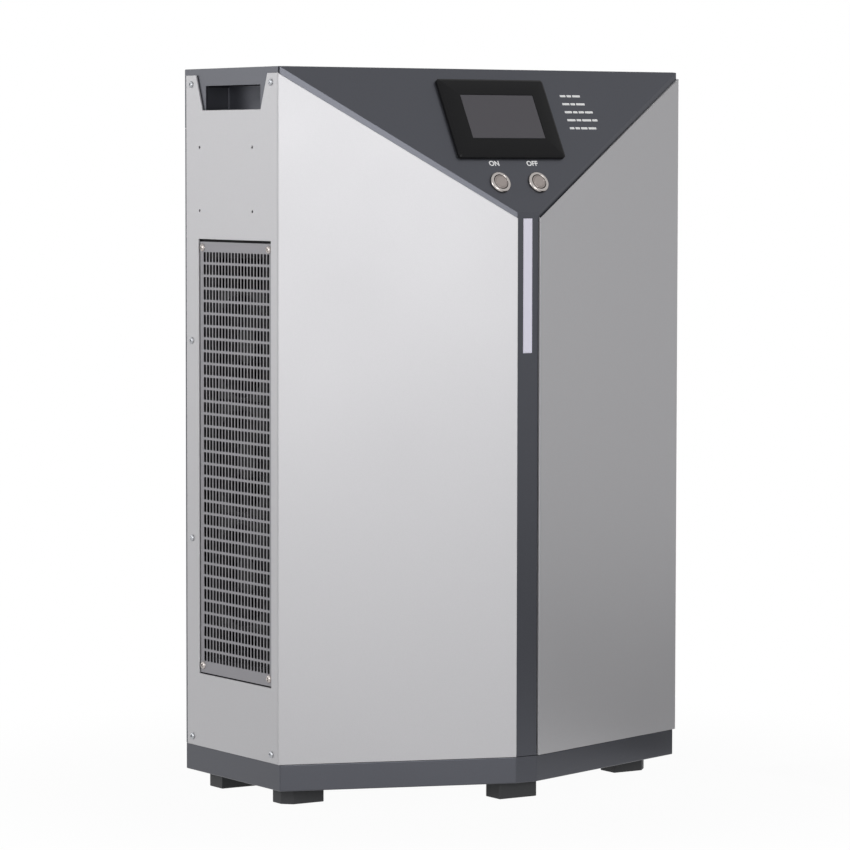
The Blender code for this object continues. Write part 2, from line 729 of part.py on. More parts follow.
def build_glands():
    """Hexagon flange, domed nut and threaded neck round a clear bore."""
    for name, across, bore in gland_places():
        neck = bore + GLAND_WALL
        nut = neck + GLAND_WALL
        profile = [(bore, GLAND_REACH), (neck, GLAND_REACH), (nut, GLAND_REACH - GLAND_WALL)]
        profile += [(nut, FIT), (neck, FIT), (neck, -SHEET - GLAND_NECK), (bore, -SHEET - GLAND_NECK)]
        gland = turned(name, profile, GLAND_SIDES, BLACK_PLASTIC)
        gland.rotation_euler = (-math.pi / 2, 0, 0)
        gland.location = (across, behind(CABINET_DEPTH), GLAND_HEIGHT)
        ring = [circle((0, 0), nut + GLAND_WALL, 6), circle((0, 0), (bore + neck) / 2, GLAND_SIDES)]
        flange = plate(f"{name}_flange", ring, "z", FIT, GLAND_NUT)
        flange.parent = gland
        weld(gland, flange)


def build_screen():
    """Operator panel: chamfered bezel in front of the sheet, electronics box behind it."""
    wide, tall = SCREEN_WIDTH / 2, SCREEN_HEIGHT / 2
    shape = bmesh.new()
    bmesh.ops.create_cube(shape, size=1.0)
    bmesh.ops.scale(shape, vec=(2 * wide, 2 * tall, SCREEN_PROUD - FIT), verts=shape.verts)
    bmesh.ops.translate(shape, vec=(0, 0, (SCREEN_PROUD + FIT) / 2), verts=shape.verts)
    upright = [edge for edge in shape.edges if abs(edge.verts[0].co.z - edge.verts[1].co.z) > FIT]
    rounding = {"offset": SCREEN_CORNER, "segments": 2, "profile": ROUND_PROFILE, "affect": "EDGES"}
    bmesh.ops.bevel(shape, geom=upright, **rounding)
    rim = [edge for edge in shape.edges if min(vert.co.z for vert in edge.verts) > SCREEN_PROUD - FIT]
    bmesh.ops.bevel(shape, geom=rim, offset=SCREEN_CHAMFER, segments=1, affect="EDGES")
    mesh = bpy.data.meshes.new("screen_housing")
    shape.to_mesh(mesh)
    shape.free()
    housing = add_mesh("screen_housing", mesh, BLACK_PLASTIC)
    on_slope(housing, 0, SCREEN_CENTRE)
    half, rise = SCREEN_BODY_WIDTH / 2, SCREEN_BODY_HEIGHT / 2
    body = box("screen_body", (-half, -rise, -SCREEN_BODY_DEPTH), (half, rise, SCREEN_PROUD / 2))
    body.parent = housing
    weld(housing, body)
    wide, tall = GLASS_WIDTH / 2, GLASS_HEIGHT / 2
    floor = SCREEN_PROUD - GLASS_THICKNESS - FIT
    low = (GLASS_ACROSS - wide - FIT, GLASS_UP - tall - FIT, floor)
    high = (GLASS_ACROSS + wide + FIT, GLASS_UP + tall + FIT, SCREEN_PROUD + PAST)
    window = box("glass_recess", low, high)
    window.parent = housing
    cut(housing, window)
    glass = box("screen_glass", (-wide, -tall, 0), (wide, tall, GLASS_THICKNESS), GLASS)
    on_slope(glass, GLASS_ACROSS, SCREEN_CENTRE - GLASS_UP, floor + FIT + GLASS_THICKNESS / 2)


def build_buttons():
    ring, barrel, cap = BUTTON_RING, BUTTON_BARREL, BUTTON_CAP
    bore = cap + BUTTON_RUNNING
    seat = BUTTON_CAP_PROUD - BUTTON_CAP_LENGTH
    floor = seat - BUTTON_TRAVEL - BUTTON_RUNNING
    edge = (ring - bore) / 3
    for name, side in (("start", -1), ("stop", 1)):
        profile = [(bore, BUTTON_PROUD - edge / 2), (bore + edge, BUTTON_PROUD)]
        profile += [(ring - edge, BUTTON_PROUD), (ring, BUTTON_PROUD / 2), (ring, FIT)]
        profile += [(barrel, FIT), (barrel, -BUTTON_LENGTH)]
        profile += [(bore / 2, -BUTTON_LENGTH), (bore / 2, floor), (bore, floor)]
        body = turned(f"{name}_button_body", profile, BUTTON_SIDES, NICKEL)
        on_slope(body, side * BUTTON_SPACING / 2, BUTTON_DOWN)
        profile = [(0, BUTTON_CAP_PROUD), (cap - edge / 2, BUTTON_CAP_PROUD)]
        profile += [(cap, BUTTON_CAP_PROUD - edge / 2), (cap, seat), (0, seat)]
        button = turned(f"{name}_button_cap", profile, BUTTON_SIDES, NICKEL)
        on_slope(button, side * BUTTON_SPACING / 2, BUTTON_DOWN)


def build_chassis():
    """Welded tube frame: posts, rails behind the grilles, fan bars, top ring and mounting plate."""
    floor, top = FOOT_HEIGHT + SHEET + FIT, CABINET_HEIGHT - SHEET - FIT
    outer, inner = POST_OUTER, POST_OUTER - TUBE
    rear = behind(REAR_INSIDE - FIT)
    front = behind(FRONT_POST)
    members = []
    for side in (-1, 1):
        ends = sorted((side * outer, side * inner))
        members.append(((ends[0], front, floor), (ends[1], front + TUBE, top)))
        members.append(((ends[0], rear - TUBE, floor), (ends[1], rear, top)))
        members.append(((ends[0], front, floor), (ends[1], rear, floor + TUBE)))
        members.append(((ends[0], front, top - TUBE / 2), (ends[1], rear, top)))
        low, high = behind(PROW_DEPTH + RETURN_DEPTH + FIT), behind(CABINET_DEPTH - REAR_RETURN - FIT)
        for height in (OPENING_MIDDLE - GRILLE_SCREW_RISE / 2, OPENING_MIDDLE + GRILLE_SCREW_RISE / 2):
            ends = sorted((side * RAIL_OUTER, side * inner))
            bottom = height - RAIL_RISE / 2
            members.append(((ends[0], low, bottom), (ends[1], high, bottom + RAIL_RISE)))
        ends = sorted((side * (FRAME_HALF - FIT), side * inner))
        bottom = PLINTH_TOP + FIT
        members.append(((ends[0], low, bottom), (ends[1], high, bottom + BASE_RAIL_RISE)))
    low, high = OPENING_MIDDLE - GRILLE_SCREW_RISE / 2, OPENING_MIDDLE + GRILLE_SCREW_RISE / 2
    for along in (-1, 1):
        place = behind(OPENING_CENTRE + along * (FAN_SIZE / 2)) - FAN_BAR / 2
        members.append(((-FAN_FACE - SHEET - FIT, place, low), (-FAN_FACE - FIT, place + FAN_BAR, high)))
    for height in (floor, top - TUBE / 2):
        members.append(((-outer, front, height), (outer, front + TUBE, height + TUBE / 2)))
        members.append(((-outer, rear - TUBE, height), (outer, rear, height + TUBE / 2)))
    front, rear = behind(PLATE_FRONT), behind(PLATE_FRONT + SHEET)
    members.append(((-outer, front, MOUNT_PLATE_BOTTOM), (outer, rear, MOUNT_PLATE_TOP)))
    chassis = box("chassis_frame", *members[0], ZINC, centred=False)
    for number, (low, high) in enumerate(members[1:], 1):
        weld(chassis, box(f"chassis_member_{number}", low, high, centred=False))
    grip = HALF_WIDTH - 2 * SHEET - 2 * FIT
    drill(chassis, [(SCREW_FRONT_LINE, SCREW_BOTTOM)], grip - FIT, HALF_WIDTH)
    grip = GRILLE_INNER + GRILLE_SHEET - 2 * SHEET - 2 * FIT
    drill(chassis, grille_screw_places(), grip, HALF_WIDTH)


def build_fans():
    half, chamfer = FAN_SIZE / 2, FAN_CORNER
    square = [(half - chamfer, -half), (half, -half + chamfer)]
    square += [(half, half - chamfer), (half - chamfer, half)]
    square += [(-across, -up) for across, up in square]
    frame = plate("fan_frame_blank", [square, circle((0, 0), FAN_BORE, FAN_SIDES)], "z", 0, FAN_DEPTH)
    base = plate("fan_base_blank", [circle((0, 0), FAN_HUB, HUB_SIDES)], "z", 0, FAN_BASE)
    strut, reach = FAN_STRUT / 2, (FAN_BORE + half) / 2
    bars = [
        box("fan_strut_across", (-reach, -strut, 0), (reach, strut, FAN_STRUT_DEPTH)),
        box("fan_strut_up", (-strut, -reach, 0), (strut, reach, FAN_STRUT_DEPTH)),
    ]
    for item in (base, *bars):
        weld(frame, item)
    frame_mesh = settled_mesh(frame, (base, *bars))
    rotor = plate("rotor_blank", [circle((0, 0), FAN_HUB, HUB_SIDES)], "z", 0, FAN_HUB_LENGTH)
    blades = rotor_blades()
    weld(rotor, blades)
    rotor_mesh = settled_mesh(rotor, (blades,))
    frame_mesh.materials.append(BLACK_PLASTIC)
    rotor_mesh.materials.append(BLACK_PLASTIC)
    frame_middle = FAN_FACE - FAN_DEPTH / 2
    rotor_middle = FAN_FACE - FAN_DEPTH + FAN_BASE + FIT + FAN_HUB_LENGTH / 2
    for number in range(1, FAN_COUNT + 1):
        height = OPENING_MIDDLE + (number - (FAN_COUNT + 1) / 2) * FAN_PITCH
        kinds = (("fan_frame", frame_mesh, frame_middle), ("fan_rotor", rotor_mesh, rotor_middle))
        for name, mesh, across in kinds:
            piece = bpy.data.objects.new(f"{name}_{number}", mesh)
            PARTS.objects.link(piece)
            piece.rotation_euler = (0, -math.pi / 2, 0)
            piece.location = (-across, behind(OPENING_CENTRE), height)


def rotor_blades():
    """Twisted blades that start inside the hub and stop short of the frame's bore."""
    shape = bmesh.new()
    clear = FAN_BORE * math.cos(math.pi / FAN_SIDES) - FAN_TIP_GAP
    root, tip = FAN_HUB - 2 * BLADE_THICKNESS, math.sqrt(clear**2 - (BLADE_CHORD / 2) ** 2)
    for number in range(FAN_BLADES):
        made = bmesh.ops.create_cube(shape, size=1.0)["verts"]
        bmesh.ops.scale(shape, vec=(tip - root, BLADE_CHORD, BLADE_THICKNESS), verts=made)
        bmesh.ops.translate(shape, vec=((tip + root) / 2, 0, 0), verts=made)
        for vert in made:
            share = (vert.co.x - root) / (tip - root)
            angle = BLADE_PITCH - BLADE_TWIST * share
            vert.co.yz = (
                vert.co.y * math.cos(angle) - vert.co.z * math.sin(angle),
                vert.co.y * math.sin(angle) + vert.co.z * math.cos(angle) + FAN_HUB_LENGTH / 2,
            )
        turn = Matrix.Rotation(math.tau * number / FAN_BLADES, 3, "Z")
        bmesh.ops.rotate(shape, cent=(0, 0, 0), matrix=turn, verts=made)
    mesh = bpy.data.meshes.new("rotor_blades")
    shape.to_mesh(mesh)
    shape.free()
    return add_mesh("rotor_blades", mesh)


def build_modules():
    """Finned power modules, fins along the air stream, bolted to the mounting plate."""
    rear = PLATE_FRONT - FIT
    pitch = (MODULE_HEIGHT - FIN_THICKNESS) / (FIN_COUNT - 1)
    for number in range(1, MODULE_COUNT + 1):
        bottom = MODULE_FIRST + (number - 1) * MODULE_PITCH - MODULE_HEIGHT / 2
        outline = [(behind(rear), bottom + MODULE_HEIGHT), (behind(rear), bottom)]
        for fin in range(FIN_COUNT):
            low = bottom + fin * pitch
            tip = behind(rear - MODULE_DEPTH)
            outline += [(tip, low), (tip, low + FIN_THICKNESS)]
            if fin < FIN_COUNT - 1:
                root = behind(rear - MODULE_BASE)
                outline += [(root, low + FIN_THICKNESS), (root, low + pitch)]
        half = MODULE_LENGTH / 2
        plate(f"power_module_{number}", [outline], "x", -half, half, ALUMINIUM)


def build_board():
    rear = behind(PLATE_FRONT - FIT)
    half, rise = BOARD_WIDTH / 2, BOARD_HEIGHT / 2
    back = rear - STANDOFF
    low = (-half, back - BOARD_THICKNESS, BOARD_CENTRE - rise)
    board = box("control_board", low, (half, back, BOARD_CENTRE + rise), BOARD_GREEN)
    for across in (-1, 1):
        for up in (-1, 1):
            spot = (across * (half - STANDOFF_SIZE), BOARD_CENTRE + up * (rise - STANDOFF_SIZE))
            corner = (spot[0] - STANDOFF_SIZE / 2, back - BOARD_THICKNESS / 2, spot[1] - STANDOFF_SIZE / 2)
            end = (spot[0] + STANDOFF_SIZE / 2, rear, spot[1] + STANDOFF_SIZE / 2)
            weld(board, box(f"standoff_{across}_{up}", corner, end))


def build_contactors():
    rear = behind(PLATE_FRONT - FIT)
    half, rise = CONTACTOR_WIDTH / 2, CONTACTOR_HEIGHT / 2
    for name, side in (("mains_contactor", -1), ("output_contactor", 1)):
        across = side * CONTACTOR_ACROSS
        low = (across - half, rear - CONTACTOR_BASE, CONTACTOR_CENTRE - rise)
        body = box(name, low, (across + half, rear, CONTACTOR_CENTRE + rise), BLACK_PLASTIC)
        head = CONTACTOR_HEAD / 2
        low = (across - half, rear - CONTACTOR_DEPTH, CONTACTOR_CENTRE - head)
        high = (across + half, rear - CONTACTOR_DEPTH / 2, CONTACTOR_CENTRE + head)
        weld(body, box(f"{name}_head", low, high))


build_base()
build_fascia()
build_light()
build_front_panels()
build_side_panels()
build_grilles()
build_screws()
build_cap()
build_grips()
build_rear()
build_glands()
build_screen()
build_buttons()
build_chassis()
build_fans()
build_modules()
build_board()
build_contactors()
for item in PARTS.objects:
    if item.type == "MESH":
        round_off(item)
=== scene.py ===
import json
import math

import bmesh
import bpy
from mathutils import Matrix, Vector


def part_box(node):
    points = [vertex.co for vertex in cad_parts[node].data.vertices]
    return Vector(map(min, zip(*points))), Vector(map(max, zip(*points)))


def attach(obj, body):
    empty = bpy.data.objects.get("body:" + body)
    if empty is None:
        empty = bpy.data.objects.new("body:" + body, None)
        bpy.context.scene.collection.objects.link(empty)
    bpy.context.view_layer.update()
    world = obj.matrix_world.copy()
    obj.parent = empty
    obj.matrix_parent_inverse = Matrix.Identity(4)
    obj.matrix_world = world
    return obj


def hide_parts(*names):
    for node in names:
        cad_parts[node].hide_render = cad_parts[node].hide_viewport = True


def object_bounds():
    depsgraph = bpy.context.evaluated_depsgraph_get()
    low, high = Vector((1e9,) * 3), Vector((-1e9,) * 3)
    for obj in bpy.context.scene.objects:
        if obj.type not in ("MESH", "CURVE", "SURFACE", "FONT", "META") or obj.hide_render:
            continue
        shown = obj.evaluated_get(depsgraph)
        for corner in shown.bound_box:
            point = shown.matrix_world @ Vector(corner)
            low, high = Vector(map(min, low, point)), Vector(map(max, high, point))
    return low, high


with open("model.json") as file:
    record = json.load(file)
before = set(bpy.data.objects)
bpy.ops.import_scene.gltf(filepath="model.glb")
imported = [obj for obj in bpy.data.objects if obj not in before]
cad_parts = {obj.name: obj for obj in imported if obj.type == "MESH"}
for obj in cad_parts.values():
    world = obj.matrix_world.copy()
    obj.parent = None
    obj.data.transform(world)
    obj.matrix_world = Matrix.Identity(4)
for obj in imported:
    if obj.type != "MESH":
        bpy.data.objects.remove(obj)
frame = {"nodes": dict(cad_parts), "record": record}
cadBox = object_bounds()
nodes = frame["nodes"]
print("frame loaded:", len(nodes), "nodes")

# The control panel's slope, taken from the travel of the start button
joints = frame["record"]["behaviour"]["joints"]
pressAxis = next(joint["axis"] for joint in joints if joint["child"] == "start_button")
slopeOut = -Vector(pressAxis).normalized()
slopeUp = Vector((0, slopeOut.z, -slopeOut.y))
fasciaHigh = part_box("front_fascia")[1]
slopeFrame = Matrix.Translation((0, fasciaHigh.y, fasciaHigh.z)) @ Matrix((
    (1, 0, 0, 0),
    (0, slopeUp.y, slopeOut.y, 0),
    (0, slopeUp.z, slopeOut.z, 0),
    (0, 0, 0, 1),
))


def slopeBox(node):
    # lowest and highest corner of a node in the slope's own directions
    turned = [slopeFrame.inverted() @ vert.co for vert in nodes[node].data.vertices]
    low = Vector([min(point[axis] for point in turned) for axis in range(3)])
    high = Vector([max(point[axis] for point in turned) for axis in range(3)])
    return low, high


def addObject(name, data):
    item = bpy.data.objects.new(name, data)
    bpy.context.scene.collection.objects.link(item)
    return item


def meshFrom(shape, name):
    mesh = bpy.data.meshes.new(name)
    shape.to_mesh(mesh)
    shape.free()
    return mesh


def bareMaterial(name):
    material = bpy.data.materials.new(name)
    material.use_nodes = True
    material.node_tree.nodes.clear()
    return material


# Camera, at the photograph's place
cameraView = {
    "place": (-2.49488, -3.81250, 0.69634),
    "turn": 32.871,  # degrees to the right of straight on
    "tilt": -3.682,
    "roll": -0.086,
    "lens": 172.15,
    "sensor": 36.0,
}


def addCamera(view):
    data = bpy.data.cameras.new("photoCamera")
    data.lens = view["lens"]
    data.sensor_width = view["sensor"]
    data.clip_end = 200
    camera = addObject("photoCamera", data)
    turn = Matrix.Rotation(math.radians(-view["turn"]), 4, "Z")
    tilt = Matrix.Rotation(math.radians(90 + view["tilt"]), 4, "X")
    roll = Matrix.Rotation(math.radians(-view["roll"]), 4, "Z")
    camera.matrix_world = Matrix.Translation(view["place"]) @ turn @ tilt @ roll
    bpy.context.scene.camera = camera


addCamera(cameraView)
bpy.context.scene.view_settings.view_transform = "Standard"
print("camera placed")

# Studio
studio = {
    "roomColour": (0.97, 0.98, 1.0),
    "roomLight": 0.10,  # on matt surfaces; the camera and reflections see plain white
    "floorSize": 60.0,
    "floorGap": 0.0002,  # below the feet
    "floorColour": (0.50, 0.50, 0.50),
    "floorWhite": 0.965,  # plain white share of the floor's look under the charger, the rest keeps its shadow
    "fadeStart": 0.28,
    "fadeEnd": 0.80,  # from here outwards the floor is plain white
}
greyCloth = {
    "near": 0.34,  # metres to the charger's right
    "far": 1.5,
    "front": -1.8,
    "rear": -0.1,
    "height": 0.002,
    "colour": (0.06, 0.06, 0.065),
}
lamps = {
    "frontWidePanel": {"place": (-0.9, -3.2, 1.0), "size": 1.2, "power": 16.3},
    "frontPanel": {"place": (-0.5, -3.2, 0.9), "size": 1.0, "power": 16.6},
    "leftPanel": {"place": (-3.8, -0.6, 1.15), "size": 1.8, "power": 35.4},
    "backLeftPanel": {"place": (-2.6, 2.6, 1.15), "size": 1.6, "power": 17.0},
    "backRightPanel": {"place": (2.4, 2.8, 2.0), "size": 1.8, "power": 40.0},
}


def backgroundMask(tree):
    # 1 where the camera, a reflection or a clear piece looks at the room
    path = tree.nodes.new("ShaderNodeLightPath")
    seen = path.outputs["Is Camera Ray"]
    for label in ("Is Glossy Ray", "Is Transmission Ray"):
        either = tree.nodes.new("ShaderNodeMath")
        either.operation = "MAXIMUM"
        tree.links.new(seen, either.inputs[0])
        tree.links.new(path.outputs[label], either.inputs[1])
        seen = either.outputs[0]
    return seen


def addRoom(settings):
    world = bpy.data.worlds.new("studioRoom")
    bpy.context.scene.world = world
    world.use_nodes = True
    tree = world.node_tree
    tree.nodes.clear()
    soft = tree.nodes.new("ShaderNodeBackground")
    soft.inputs["Color"].default_value = (*settings["roomColour"], 1)
    soft.inputs["Strength"].default_value = settings["roomLight"]
    white = tree.nodes.new("ShaderNodeBackground")
    white.inputs["Color"].default_value = (1, 1, 1, 1)
    white.inputs["Strength"].default_value = 1.0
    choose = tree.nodes.new("ShaderNodeMixShader")
    leave = tree.nodes.new("ShaderNodeOutputWorld")
    tree.links.new(backgroundMask(tree), choose.inputs["Fac"])
    tree.links.new(soft.outputs[0], choose.inputs[1])
    tree.links.new(white.outputs[0], choose.inputs[2])
    tree.links.new(choose.outputs[0], leave.inputs["Surface"])


def addFloor(settings):
    shape = bmesh.new()
    half = settings["floorSize"] / 2
    corners = [shape.verts.new((half * x, half * y, 0)) for x, y in ((-1, -1), (1, -1), (1, 1), (-1, 1))]
    shape.faces.new(corners)
    floor = addObject("studioFloor", meshFrom(shape, "studioFloor"))
    floor.location.z = cadBox[0].z - settings["floorGap"]
    material = bareMaterial("paperFloor")
    tree = material.node_tree
    paper = tree.nodes.new("ShaderNodeBsdfDiffuse")
    paper.inputs["Color"].default_value = (*settings["floorColour"], 1)
    white = tree.nodes.new("ShaderNodeEmission")
    white.inputs["Color"].default_value = (1, 1, 1, 1)
    ground = tree.nodes.new("ShaderNodeTexCoord")
    reach = tree.nodes.new("ShaderNodeVectorMath")
    reach.operation = "LENGTH"
    fade = tree.nodes.new("ShaderNodeMapRange")
    fade.interpolation_type = "SMOOTHSTEP"
    fade.inputs["From Min"].default_value = settings["fadeStart"]
    fade.inputs["From Max"].default_value = settings["fadeEnd"]
    fade.inputs["To Min"].default_value = settings["floorWhite"]
    share = tree.nodes.new("ShaderNodeMath")
    share.operation = "MULTIPLY"
    choose = tree.nodes.new("ShaderNodeMixShader")
    leave = tree.nodes.new("ShaderNodeOutputMaterial")
    tree.links.new(ground.outputs["Object"], reach.inputs[0])
    tree.links.new(reach.outputs["Value"], fade.inputs["Value"])
    tree.links.new(backgroundMask(tree), share.inputs[0])
    tree.links.new(fade.outputs["Result"], share.inputs[1])
    tree.links.new(share.outputs[0], choose.inputs["Fac"])
    tree.links.new(paper.outputs[0], choose.inputs[1])
    tree.links.new(white.outputs[0], choose.inputs[2])
    tree.links.new(choose.outputs[0], leave.inputs["Surface"])
    floor.data.materials.append(material)


def addCloth(settings):
    # shades the right front; the lens can't see it
    near, far, front, rear = [settings[key] for key in ("near", "far", "front", "rear")]
    shape = bmesh.new()
    spots = ((near, front), (far, front), (far, rear), (near, rear))
    shape.faces.new([shape.verts.new((*spot, settings["height"])) for spot in spots])
    cloth = addObject("studioCloth", meshFrom(shape, "studioCloth"))
    cloth.visible_camera = False
    material = bareMaterial("greyCloth")
    tree = material.node_tree
    weave = tree.nodes.new("ShaderNodeBsdfDiffuse")
    weave.inputs["Color"].default_value = (*settings["colour"], 1)
    leave = tree.nodes.new("ShaderNodeOutputMaterial")
    tree.links.new(weave.outputs[0], leave.inputs["Surface"])
    cloth.data.materials.append(material)


def addLamps(settings):
    aim = (cadBox[0] + cadBox[1]) / 2
    for name, lamp in settings.items():
        data = bpy.data.lights.new(name, "AREA")
        data.shape = "SQUARE"
        data.size = lamp["size"]
        data.energy = lamp["power"]
        item = addObject(name, data)
        item.location = lamp["place"]
        item.rotation_euler = (aim - Vector(lamp["place"])).to_track_quat("-Z", "Y").to_euler()


addRoom(studio)
addFloor(studio)
addCloth(greyCloth)
addLamps(lamps)
print("studio ready")


# Shader groups that several finishes share
class GroupMaker:
    def __init__(self, name, colours, numbers):
        self.group = bpy.data.node_groups.new(name, "ShaderNodeTree")
        sockets = self.group.interface
        for label in colours:
            sockets.new_socket(label, in_out="INPUT", socket_type="NodeSocketColor")
        for label, value in numbers.items():
            socket = sockets.new_socket(label, in_out="INPUT", socket_type="NodeSocketFloat")
            socket.default_value = value
        sockets.new_socket("Color", in_out="OUTPUT", socket_type="NodeSocketColor")
        sockets.new_socket("Roughness", in_out="OUTPUT", socket_type="NodeSocketFloat")
        sockets.new_socket("Height", in_out="OUTPUT", socket_type="NodeSocketFloat")
        self.enter = self.group.nodes.new("NodeGroupInput").outputs
        self.leave = self.group.nodes.new("NodeGroupOutput").inputs
        self.place = self.group.nodes.new("ShaderNodeTexCoord").outputs["Object"]

    def connect(self, value, socket):
        if isinstance(value, (int, float)):
            socket.default_value = value
        else:
            self.group.links.new(value, socket)

    def maths(self, operation, first, second=0.0):
        node = self.group.nodes.new("ShaderNodeMath")
        node.operation = operation
        self.connect(first, node.inputs[0])
        self.connect(second, node.inputs[1])
        return node.outputs[0]

    def noise(self, scale, detail=2.0, stretch=(1, 1, 1)):
        squeeze = self.group.nodes.new("ShaderNodeMapping")
        squeeze.inputs["Scale"].default_value = stretch
        texture = self.group.nodes.new("ShaderNodeTexNoise")
        texture.inputs["Detail"].default_value = detail
        self.connect(scale, texture.inputs["Scale"])
        self.group.links.new(self.place, squeeze.inputs["Vector"])
        self.group.links.new(squeeze.outputs["Vector"], texture.inputs["Vector"])
        return texture.outputs["Fac"]

    def swing(self, value, amount):
        # a number about 0, from minus to plus the amount
        return self.maths("MULTIPLY", self.maths("SUBTRACT", value, 0.5), self.maths("MULTIPLY", amount, 2.0))

    def shade(self, colour, factor):
        node = self.group.nodes.new("ShaderNodeVectorMath")
        node.operation = "SCALE"
        self.group.links.new(colour, node.inputs[0])
        self.group.links.new(factor, node.inputs["Scale"])
        return node.outputs[0]

    def deliver(self, colour, roughness, height):
        self.connect(colour, self.leave["Color"])
        self.connect(roughness, self.leave["Roughness"])
        self.connect(height, self.leave["Height"])
        return self.group


def makePaintFilm():
    # powder coat: fine orange peel, a slow drift of tone, a little gloss change
    numbers = {"Mottle": 0.02, "Grain": 0.03, "Grain Scale": 900, "Roughness": 0.45, "Gloss Drift": 0.04}
    maker = GroupMaker("paintFilm", ("Color",), numbers)
    enter = maker.enter
    fine = maker.noise(enter["Grain Scale"], 2.0)
    broad = maker.noise(5.0, 3.0)
    tone = maker.maths("ADD", maker.swing(fine, enter["Grain"]), maker.swing(broad, enter["Mottle"]))
    colour = maker.shade(enter["Color"], maker.maths("ADD", tone, 1.0))
    rough = maker.maths("ADD", enter["Roughness"], maker.swing(broad, enter["Gloss Drift"]))
    return maker.deliver(colour, rough, fine)


def makeMetalGrain():
    # plated or drawn metal: lines along Z and dull patches
    numbers = {"Grain": 0.06, "Grain Scale": 400, "Roughness": 0.3, "Patches": 0.08}
    maker = GroupMaker("metalGrain", ("Color",), numbers)
    enter = maker.enter
    lines = maker.noise(enter["Grain Scale"], 3.0, (1, 1, 0.06))
    patches = maker.noise(60.0, 3.0)
    colour = maker.shade(enter["Color"], maker.maths("ADD", maker.swing(lines, enter["Grain"]), 1.0))
    rough = maker.maths("ADD", enter["Roughness"], maker.swing(patches, enter["Patches"]))
    return maker.deliver(colour, rough, lines)


def makeTurnedGrain():
    # fine rings round local Z, as a lathe leaves them
    numbers = {"Grain": 0.05, "Ring Scale": 3000, "Roughness": 0.3}
    maker = GroupMaker("turnedGrain", ("Color",), numbers)
    enter = maker.enter
    parts = maker.group.nodes.new("ShaderNodeSeparateXYZ")
    maker.group.links.new(maker.place, parts.inputs[0])
    across = maker.maths("MULTIPLY", parts.outputs[0], parts.outputs[0])
    along = maker.maths("MULTIPLY", parts.outputs[1], parts.outputs[1])
    radius = maker.maths("SQRT", maker.maths("ADD", across, along))
    rings = maker.group.nodes.new("ShaderNodeTexNoise")
    rings.noise_dimensions = "1D"
    rings.inputs["Detail"].default_value = 2.0
    maker.connect(radius, rings.inputs["W"])
    maker.connect(enter["Ring Scale"], rings.inputs["Scale"])
    fine = rings.outputs["Fac"]
    colour = maker.shade(enter["Color"], maker.maths("ADD", maker.swing(fine, enter["Grain"]), 1.0))
    rough = maker.maths("ADD", enter["Roughness"], maker.swing(fine, 0.05))
    return maker.deliver(colour, rough, fine)


def makeMouldedSkin():
    # spark-eroded mould grain on plastic and rubber
    numbers = {"Grain": 0.08, "Grain Scale": 1400, "Roughness": 0.5, "Bloom": 0.05}
    maker = GroupMaker("mouldedSkin", ("Color",), numbers)
    enter = maker.enter
    fine = maker.noise(enter["Grain Scale"], 1.0)
    bloom = maker.noise(18.0, 4.0)
    tone = maker.maths("ADD", maker.swing(fine, enter["Grain"]), maker.swing(bloom, enter["Bloom"]))
    colour = maker.shade(enter["Color"], maker.maths("ADD", tone, 1.0))
    rough = maker.maths("ADD", enter["Roughness"], maker.swing(bloom, 0.06))
    return maker.deliver(colour, rough, fine)


paintFilm = makePaintFilm()
metalGrain = makeMetalGrain()
turnedGrain = makeTurnedGrain()
mouldedSkin = makeMouldedSkin()


def makeFinish(name, group, relief, look):
    # values named after the group's inputs feed it, the others are set on the shader itself
    material = bpy.data.materials.new(name)
    material.use_nodes = True
    tree = material.node_tree
    shader = tree.nodes["Principled BSDF"]
    texture = tree.nodes.new("ShaderNodeGroup")
    texture.node_tree = group
    for label, value in look.items():
        owner = texture if label in texture.inputs else shader
        owner.inputs[label].default_value = (*value, 1) if isinstance(value, tuple) else value
    bump = tree.nodes.new("ShaderNodeBump")
    bump.inputs["Strength"].default_value = 1.0
    bump.inputs["Distance"].default_value = relief  # metres
    tree.links.new(texture.outputs["Color"], shader.inputs["Base Color"])
    tree.links.new(texture.outputs["Roughness"], shader.inputs["Roughness"])
    tree.links.new(texture.outputs["Height"], bump.inputs["Height"])
    tree.links.new(bump.outputs["Normal"], shader.inputs["Normal"])
    return material


gunmetalPaint = makeFinish("gunmetalPaint", paintFilm, 0.000006, {
    "Color": (0.080, 0.083, 0.097),
    "Mottle": 0.03,
    "Grain": 0.10,
    "Grain Scale": 1500,
    "Roughness": 0.36,
    "Gloss Drift": 0.03,
    "Metallic": 0.7,
})
silverPaint = makeFinish("silverPaint", paintFilm, 0.000006, {
    "Color": (0.58, 0.575, 0.592),
    "Mottle": 0.02,
    "Grain": 0.05,
    "Grain Scale": 1100,
    "Roughness": 0.42,
    "Gloss Drift": 0.04,
    "Metallic": 0.30,
})
grillePaint = makeFinish("grillePaint", paintFilm, 0.000006, {
    "Color": (0.32, 0.312, 0.335),
    "Mottle": 0.02,
    "Grain": 0.05,
    "Grain Scale": 1200,
    "Roughness": 0.45,
    "Gloss Drift": 0.03,
    "Metallic": 0.2,
})
# painted shade: the zinc chassis is made almost black so that gaps and slots show the cabinet's dark inside
frameBlackPaintedShade = makeFinish("frameBlackPaintedShade", paintFilm, 0.00001, {
    "Color": (0.008, 0.008, 0.009),
    "Mottle": 0.03,
    "Grain": 0.10,
    "Grain Scale": 900,
    "Roughness": 0.65,
    "Gloss Drift": 0.03,
    "Specular IOR Level": 0.1,
})
zincPlate = makeFinish("zincPlate", metalGrain, 0.00001, {
    "Color": (0.40, 0.41, 0.43),
    "Grain": 0.05,
    "Grain Scale": 500,
    "Roughness": 0.30,
    "Patches": 0.10,
    "Metallic": 1.0,
})
